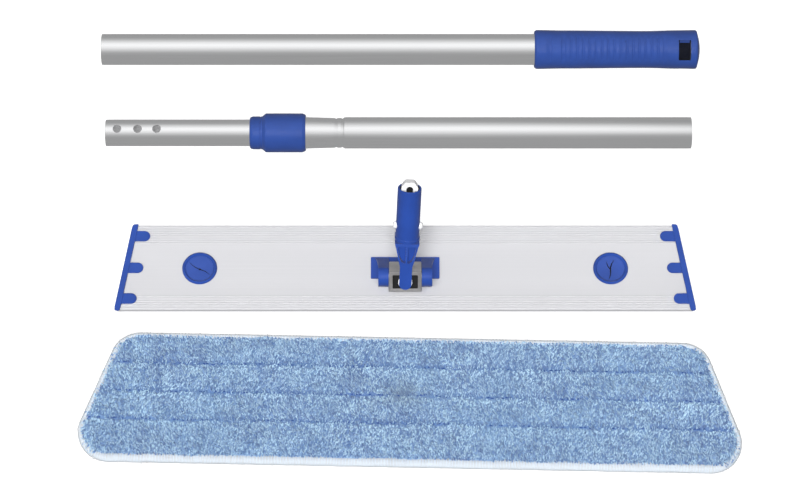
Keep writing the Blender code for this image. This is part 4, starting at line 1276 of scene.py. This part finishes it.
def pad_face(grid):
    """The quilted body under the pile, down to the backing."""
    low = grid.copy()
    low[..., 2] = FACE_LOW
    thing = quick_mesh("pad_face", *closed_sheet(grid, low))
    # Painted shade: the face is darker within 2.6 mm of each seam, in the seams' valleys.
    shade = np.where(np.abs(seam_distance(grid[..., 1])) < 2.6 * MM, -0.15, 0.22)
    with_values(thing, shade=np.stack((shade, shade)), soil=np.stack((soil(grid), 0 * shade)))
    smooth = thing.modifiers.new("smooth", "SUBSURF")
    smooth.levels = smooth.render_levels = 1
    mesh = evaluated(thing)
    thing.modifiers.clear()
    thing.data = mesh
    pad_piece(thing, "pile", ("pad_pile", "pad_core"))


def tuft_spots(chance):
    """Jittered rows of places over the pile, a little past the sewn edge at the back and the ends."""
    reach, edge = PAD_HALF_FRONT, PAD_DEPTH / 2
    x, y = np.meshgrid(np.arange(-reach, reach, TUFT_PITCH[0]), np.arange(-edge, edge, TUFT_PITCH[1]))
    x = (x + chance.uniform(-0.75, 0.75, x.shape) * TUFT_PITCH[0]).ravel()
    y = (y + chance.uniform(-0.75, 0.75, y.shape) * TUFT_PITCH[1]).ravel()
    inset = np.where(y < 0, FRONT_BAND, BINDING - PILE_PAST[0])
    inside = (np.abs(y) < edge - inset) & (np.abs(x) < pad_half(y, BINDING - PILE_PAST[1]))
    return x[inside], y[inside]


def tufts(grid):
    """The microfibre pile: bent tapering strands combed forward, in clumps, each with its own shade. Painted
    shade darkens them just behind each seam and along the front edge, and a painted highlight lightens a band
    in front of each seam.
    """
    chance = np.random.default_rng(11)
    x, y = tuft_spots(chance)
    gap = seam_distance(y)
    bare = (np.abs(gap - 0.3 * MM) < 1.5 * MM) & (ripple(x, y, (0.03, 0.011), 8) < 0.0)
    x, y, gap = x[~bare], y[~bare], gap[~bare]
    spot, up = surface_at(grid, x, y)
    count = len(x)
    turn = 0.55 * ripple(x, y, (0.028, 0.016), 6) + 0.35 * ripple(x, y, (0.09,), 7)
    turn = turn + chance.normal(0.0, 0.42, count)
    comb = np.column_stack((np.sin(turn), -np.cos(turn), np.zeros(count)))

    def behind_seam(reach):
        return np.exp(-np.maximum(gap, 0.0) / reach) * (gap > 0)

    # rear weighs the strands just behind each seam and along the front edge: there they are shorter, lower
    # and darkened by painted shade.
    rear = behind_seam(2.6 * MM) + np.exp(-(y + PAD_DEPTH / 2 - FRONT_BAND) / (3.0 * MM))
    length = chance.uniform(*TUFT_LENGTH, count) * MM * (1 - 0.5 * np.minimum(rear, 1.0))
    height = chance.uniform(*TUFT_HEIGHT, count) * MM * (1 - 0.25 * rear)
    height = height * (1 + 0.2 * ripple(x, y, (0.02,), 5))
    lean, rise = length[:, None] * comb, height[:, None] * up
    root, bend, tip = spot - 0.5 * MM * up, spot + 0.8 * rise + 0.35 * lean, spot + 0.75 * rise + lean
    paths = np.stack((root, bend, tip), axis=1)
    radii = TUFT_RADIUS * chance.uniform(0.8, 1.2, count)[:, None] * np.array((1.0, 0.95, 0.35))
    # More dark flecks behind the seams and at the front edge: painted shade.
    dark = FLECK_SHARE + 0.22 * rear + 0.25 * behind_seam(5 * MM) + 0.14 * ripple(x, y, (0.05, 0.03), 10)
    fleck = chance.random(count) < dark
    radii = radii * np.where(fleck, FLECK_SIZE, 1.0)[:, None]
    shade = np.clip(chance.normal(0.65, 0.24, count) + 0.26 * ripple(x, y, (0.034, 0.014), 9), 0.2, 1.0)
    shade = np.where(fleck, 0.25 * shade - 0.25, shade + 0.06)
    # Painted shade darkens the strands behind each seam and at the front edge; a painted highlight lightens a
    # band about 4 mm in front of each seam.
    shade = shade * (1 - 0.3 * rear) + 0.2 * np.exp(-np.abs(gap + 4 * MM) / (3 * MM)) * (gap < 0)
    return paths, radii, shade, across_channel(y)[0], soil(spot)


def pile(grid):
    """One piece of strands for each channel."""
    paths, radii, shade, channel, mark = tufts(grid)
    # Painted shade along each strand: darkest at the root, lighter at the tip.
    painted_root_shade = np.array((0.0, 0.8, 1.15))
    for number in range(int(channel.max()) + 1):
        chosen = channel == number
        sideways = np.tile((1.0, 0.0, 0.0), (chosen.sum(), 1))
        thing = strands(f"pad_pile_{number + 1}", paths[chosen], radii[chosen], sideways)
        own = shade[chosen, None, None] * painted_root_shade[None, :, None]
        with_values(thing, shade=np.repeat(own, 3, axis=2), soil=np.repeat(mark[chosen], 9))
        pad_piece(thing, "pile", smooth=60.0)


def seam_stitches(grid):
    """Rows of stitches sunk in the pile's seams, and thinner ones under the backing."""
    chance = np.random.default_rng(21)
    for name, look, under in (("pad_seam_stitches", "seam", False), ("pad_backing_stitches", "thread", True)):
        rows = []
        for seam in SEAMS:
            half = float(pad_half(seam, BINDING)) - 2 * MM
            x = np.arange(-half, half, STITCH_PITCH)
            x = (x + chance.uniform(-0.9, 0.9, len(x)) * MM)[chance.random(len(x)) > 0.2]
            span = chance.uniform(2.2, 4.2, len(x)) * MM
            wander = chance.normal(0.0, 0.35, len(x)) * MM
            path = []
            for share, rise, _ in STITCH_FORM:
                spot, _ = surface_at(grid, x + span * share, seam + wander * (1 + share))
                if under:
                    spot[:, 2] = STITCH_UNDER
                spot[:, 2] += rise * MM * (-0.45 if under else 1.0)
                path.append(spot)
            rows.append(np.stack(path, axis=1))
        paths = np.concatenate(rows)
        widths = np.array([width for _, _, width in STITCH_FORM]) * MM * (0.5 if under else 1.0)
        radii, sideways = np.tile(widths, (len(paths), 1)), np.tile((0.0, 1.0, 0.0), (len(paths), 1))
        pad_piece(strands(name, paths, radii, sideways, 6), look, smooth=60.0)


def backing():
    """The loop-knit backing, dimpled where it is sewn through."""
    rows = np.linspace(-1.0, 1.0, 72) * (PAD_DEPTH / 2 - BACKING_INSET)
    columns = np.linspace(-1.0, 1.0, 170)
    x = columns[None, :] * pad_half(rows, BACKING_INSET)[:, None]
    y = np.repeat(rows[:, None], len(columns), axis=1)
    dimple = 0.7 * MM * np.exp(-(seam_distance(y) / (1.6 * MM))**2)
    puff = 0.12 * MM * (1 + ripple(x, y, (0.02, 0.011), 12))
    low = np.stack((x, y, np.minimum(dimple + puff, 0.9 * MM)), axis=-1)
    high = np.stack((x, y, np.full(x.shape, FACE_LOW - 0.05 * MM)), axis=-1)
    thing = quick_mesh("pad_backing_cloth", *closed_sheet(high, low))
    pad_piece(thing, "felt", "pad_backing")


# The rim's section, from the face over the edge to the backing: mm in from the edge, mm up
EDGE_SECTION = ((5.6, 5.2), (4.6, 6.6), (3.0, 7.1), (1.3, 6.5), (0.3, 4.9), (0.15, 3.0), (0.9, 1.1),
                (2.6, 0.35), (5.2, 0.3))


def edge_point(points, outward, inward_mm, up_mm):
    """Points over the pad's edge at a distance in from it and up, both in mm; the front's edge is wider."""
    front = np.clip(-outward[..., 1], 0.0, 1.0) ** 2
    inward_mm = np.asarray(inward_mm) * (1 + 0.7 * front) - 1.2 * front
    flat = points - outward * (inward_mm * MM)[..., None]
    high = np.broadcast_to(np.asarray(up_mm) * MM, flat.shape[:-1])
    return np.concatenate((flat, high[..., None]), axis=-1)


def edge_roll():
    """The sewn-over rim: a soft rounded band round the pad, a little uneven."""
    points, outward = pad_loop(0.0, 2.0 * MM)
    wave = ripple(points[:, 0], points[:, 1], (0.06, 0.025), 31)
    grid = np.stack([edge_point(points, outward, inward + 0.35 * wave, up * (1 + 0.05 * wave))
                     for inward, up in EDGE_SECTION], axis=0)
    index = np.arange(grid.shape[0] * grid.shape[1]).reshape(grid.shape[:2])
    below = np.roll(index, -1, axis=0)
    quads = np.stack((index, np.roll(index, -1, axis=1), np.roll(below, -1, axis=1), below), axis=-1)
    thing = quick_mesh("pad_edge_roll", grid.reshape(-1, 3), quads.reshape(-1, 4)[:, ::-1])
    pad_piece(thing, "roll", "pad_binding", smooth=80.0)


def overlock():
    """Overlock thread: slanted stitches over the rim, each a little different, with a few loose ones."""
    chance = np.random.default_rng(41)
    points, outward = pad_loop(0.0, LOOP_PITCH)
    count = len(points)
    along = np.column_stack((-outward[:, 1], outward[:, 0]))
    lean = (np.where(np.arange(count) % 2 == 0, 1.0, -0.55) + chance.normal(0.0, 0.35, count)) * LOOP_PITCH
    loose = np.where(chance.random(count) < LOOSE_LOOPS, chance.uniform(0.3, 1.1, count), 0.0)
    reach = chance.uniform(-0.4, 1.2, count)
    section = ((5.7, 4.9), *EDGE_SECTION[1:8])
    made = []
    for step, (inward, up) in enumerate(section):
        share = step / (len(section) - 1)
        arch = math.sin(math.pi * share)
        shift = along * (lean * (share - 0.5) + chance.normal(0.0, 0.12 * MM, count))[:, None]
        if step < 5:
            up = up + (0.35 + 0.4 * loose * arch)
        inward = inward - (0.35 + loose * arch) * arch + (reach if step == 0 else 0.0)
        made.append(edge_point(points + shift, outward, inward, np.maximum(up, 0.3)))
    widths = np.array((0.2, 0.3, 0.34, 0.34, 0.34, 0.32, 0.3, 0.25)) * MM
    radii = chance.uniform(0.65, 1.2, (count, 1)) * widths
    sideways = np.column_stack((along, np.zeros(count)))
    thing = strands("pad_overlock", np.stack(made, axis=1), radii, sideways, 5)
    pad_piece(thing, "thread", smooth=70.0)


def build_pad():
    grid, sewn = face_grid()
    grid = quilted(grid, sewn)
    pad_face(grid)
    pile(grid)
    seam_stitches(grid)
    backing()
    edge_roll()
    overlock()


# ---------------------------------------------------------------- kept CAD nodes

def dress_kept_nodes():
    """Hidden and plain turned parts keep their CAD shape and get a better finish."""
    finishes = {"white": ("lock_sleeve", "grip_wedge", "inner_tube_bush"), "grey": ("joining_spigot",),
                "steel": ("tilt_pin_left", "tilt_pin_right", "swivel_pin",
                          *(f"bracket_screw_{number}" for number in range(1, 5)))}
    for look, nodes in finishes.items():
        for node in nodes:
            mesh = frame["nodes"][node].data
            mesh.materials.clear()
            mesh.materials.append(LOOKS[look].material)
            frame["nodes"][node].visible_glossy = False


# ---------------------------------------------------------------- studio

def make_world():
    """Soft studio light as a smooth sky, brightest in a long patch a little behind straight up."""
    world = bpy.data.worlds.new("studio")
    world.use_nodes = True
    tree = world.node_tree
    value = tree.nodes.new("ShaderNodeTexCoord").outputs["Generated"]
    brightest = (0.0, math.sin(SKY_LEAN), math.cos(SKY_LEAN))
    for operation, other, result in (("MULTIPLY", (1.0 / SKY_LENGTH, 1.0, 1.0), "Vector"),
                                     ("NORMALIZE", None, "Vector"), ("DOT_PRODUCT", brightest, "Value")):
        node = tree.nodes.new("ShaderNodeVectorMath")
        node.operation = operation
        if other:
            node.inputs[1].default_value = other
        tree.links.new(value, node.inputs[0])
        value = node.outputs[result]
    ramp = tree.nodes.new("ShaderNodeValToRGB")
    stops = sorted((math.cos(math.radians(angle)), level) for angle, level in SKY)
    for spot, level in stops[1:-1]:
        ramp.color_ramp.elements.new(spot)
    for element, (spot, level) in zip(ramp.color_ramp.elements, stops):
        element.position = max(0.0, min(1.0, spot))
        element.color = (level, level, level, 1.0)
    tree.links.new(value, ramp.inputs["Fac"])
    tree.links.new(ramp.outputs["Color"], tree.nodes["Background"].inputs["Color"])
    bpy.context.scene.world = world
    world.cycles_visibility.diffuse = False


def make_light(name, strength, across, forward):
    """A broad light for the matt surfaces; the reflections are left to the sky."""
    lamp = bpy.data.lights.new(name, "SUN")
    lamp.energy = strength
    lamp.angle = math.radians(across)
    thing = linked(name, lamp)
    thing.rotation_euler = (math.radians(forward), -LIGHTS_LEFT, 0.0)
    thing.visible_glossy = False


def make_floor():
    """A pale floor that glows a little, so that it stays white around the object's soft shadow."""
    mesh = bpy.data.meshes.new("floor")
    corners = rectangle(-FLOOR_HALF, FLOOR_HALF, -FLOOR_HALF, FLOOR_HALF)
    mesh.from_pydata([(x, y, 0.0) for x, y in corners], [], [(0, 1, 2, 3)])
    floor = linked("floor", mesh)
    look = Look("floor", specular=0.0)
    shade = look.spread(look.noise(3.0), FLOOR_SHADE, FLOOR_SHADE + 0.01)
    look.colour(look.mix(shade, (0.0, 0.0, 0.0), (1.0, 1.0, 1.0)))
    look.shader.inputs["Roughness"].default_value = 1.0
    look.shader.inputs["Emission Color"].default_value = (1.0, 1.0, 1.0, 1.0)
    look.shader.inputs["Emission Strength"].default_value = FLOOR_GLOW
    mesh.materials.append(look.material)
    floor.visible_glossy = False
    floor.visible_diffuse = False


def make_camera():
    camera = linked("camera", bpy.data.cameras.new("camera"))
    camera.location = TARGET + CAMERA_DISTANCE * Vector((0.0, -math.cos(CAMERA_RISE), math.sin(CAMERA_RISE)))
    camera.rotation_euler = (math.pi / 2 - CAMERA_RISE, 0.0, 0.0)
    camera.data.lens = LENS
    camera.data.sensor_width = SENSOR
    camera.data.clip_end = 4 * FLOOR_HALF
    bpy.context.scene.camera = camera
    bpy.context.scene.view_settings.view_transform = "Standard"


# ---------------------------------------------------------------- everything

def build_hard_pieces():
    for make in (upper_tube, hand_grip, lower_outer_tube, lock_collar, inner_tube, frame_plate):
        make()
    for side in ("left", "right"):
        for make in (end_cap, gripper_rim, gripper_well, gripper_flaps, clip_leg):
            make(side)
    for end in ("front", "rear"):
        hook_strip(end)
    for make in (joint_bracket, cross_block, handle_socket, washers, clip_bend, dress_kept_nodes):
        make()


make_world()
make_light("key", *KEY)
make_light("fill", *FILL)
make_floor()
make_camera()
build_hard_pieces()
build_pad()
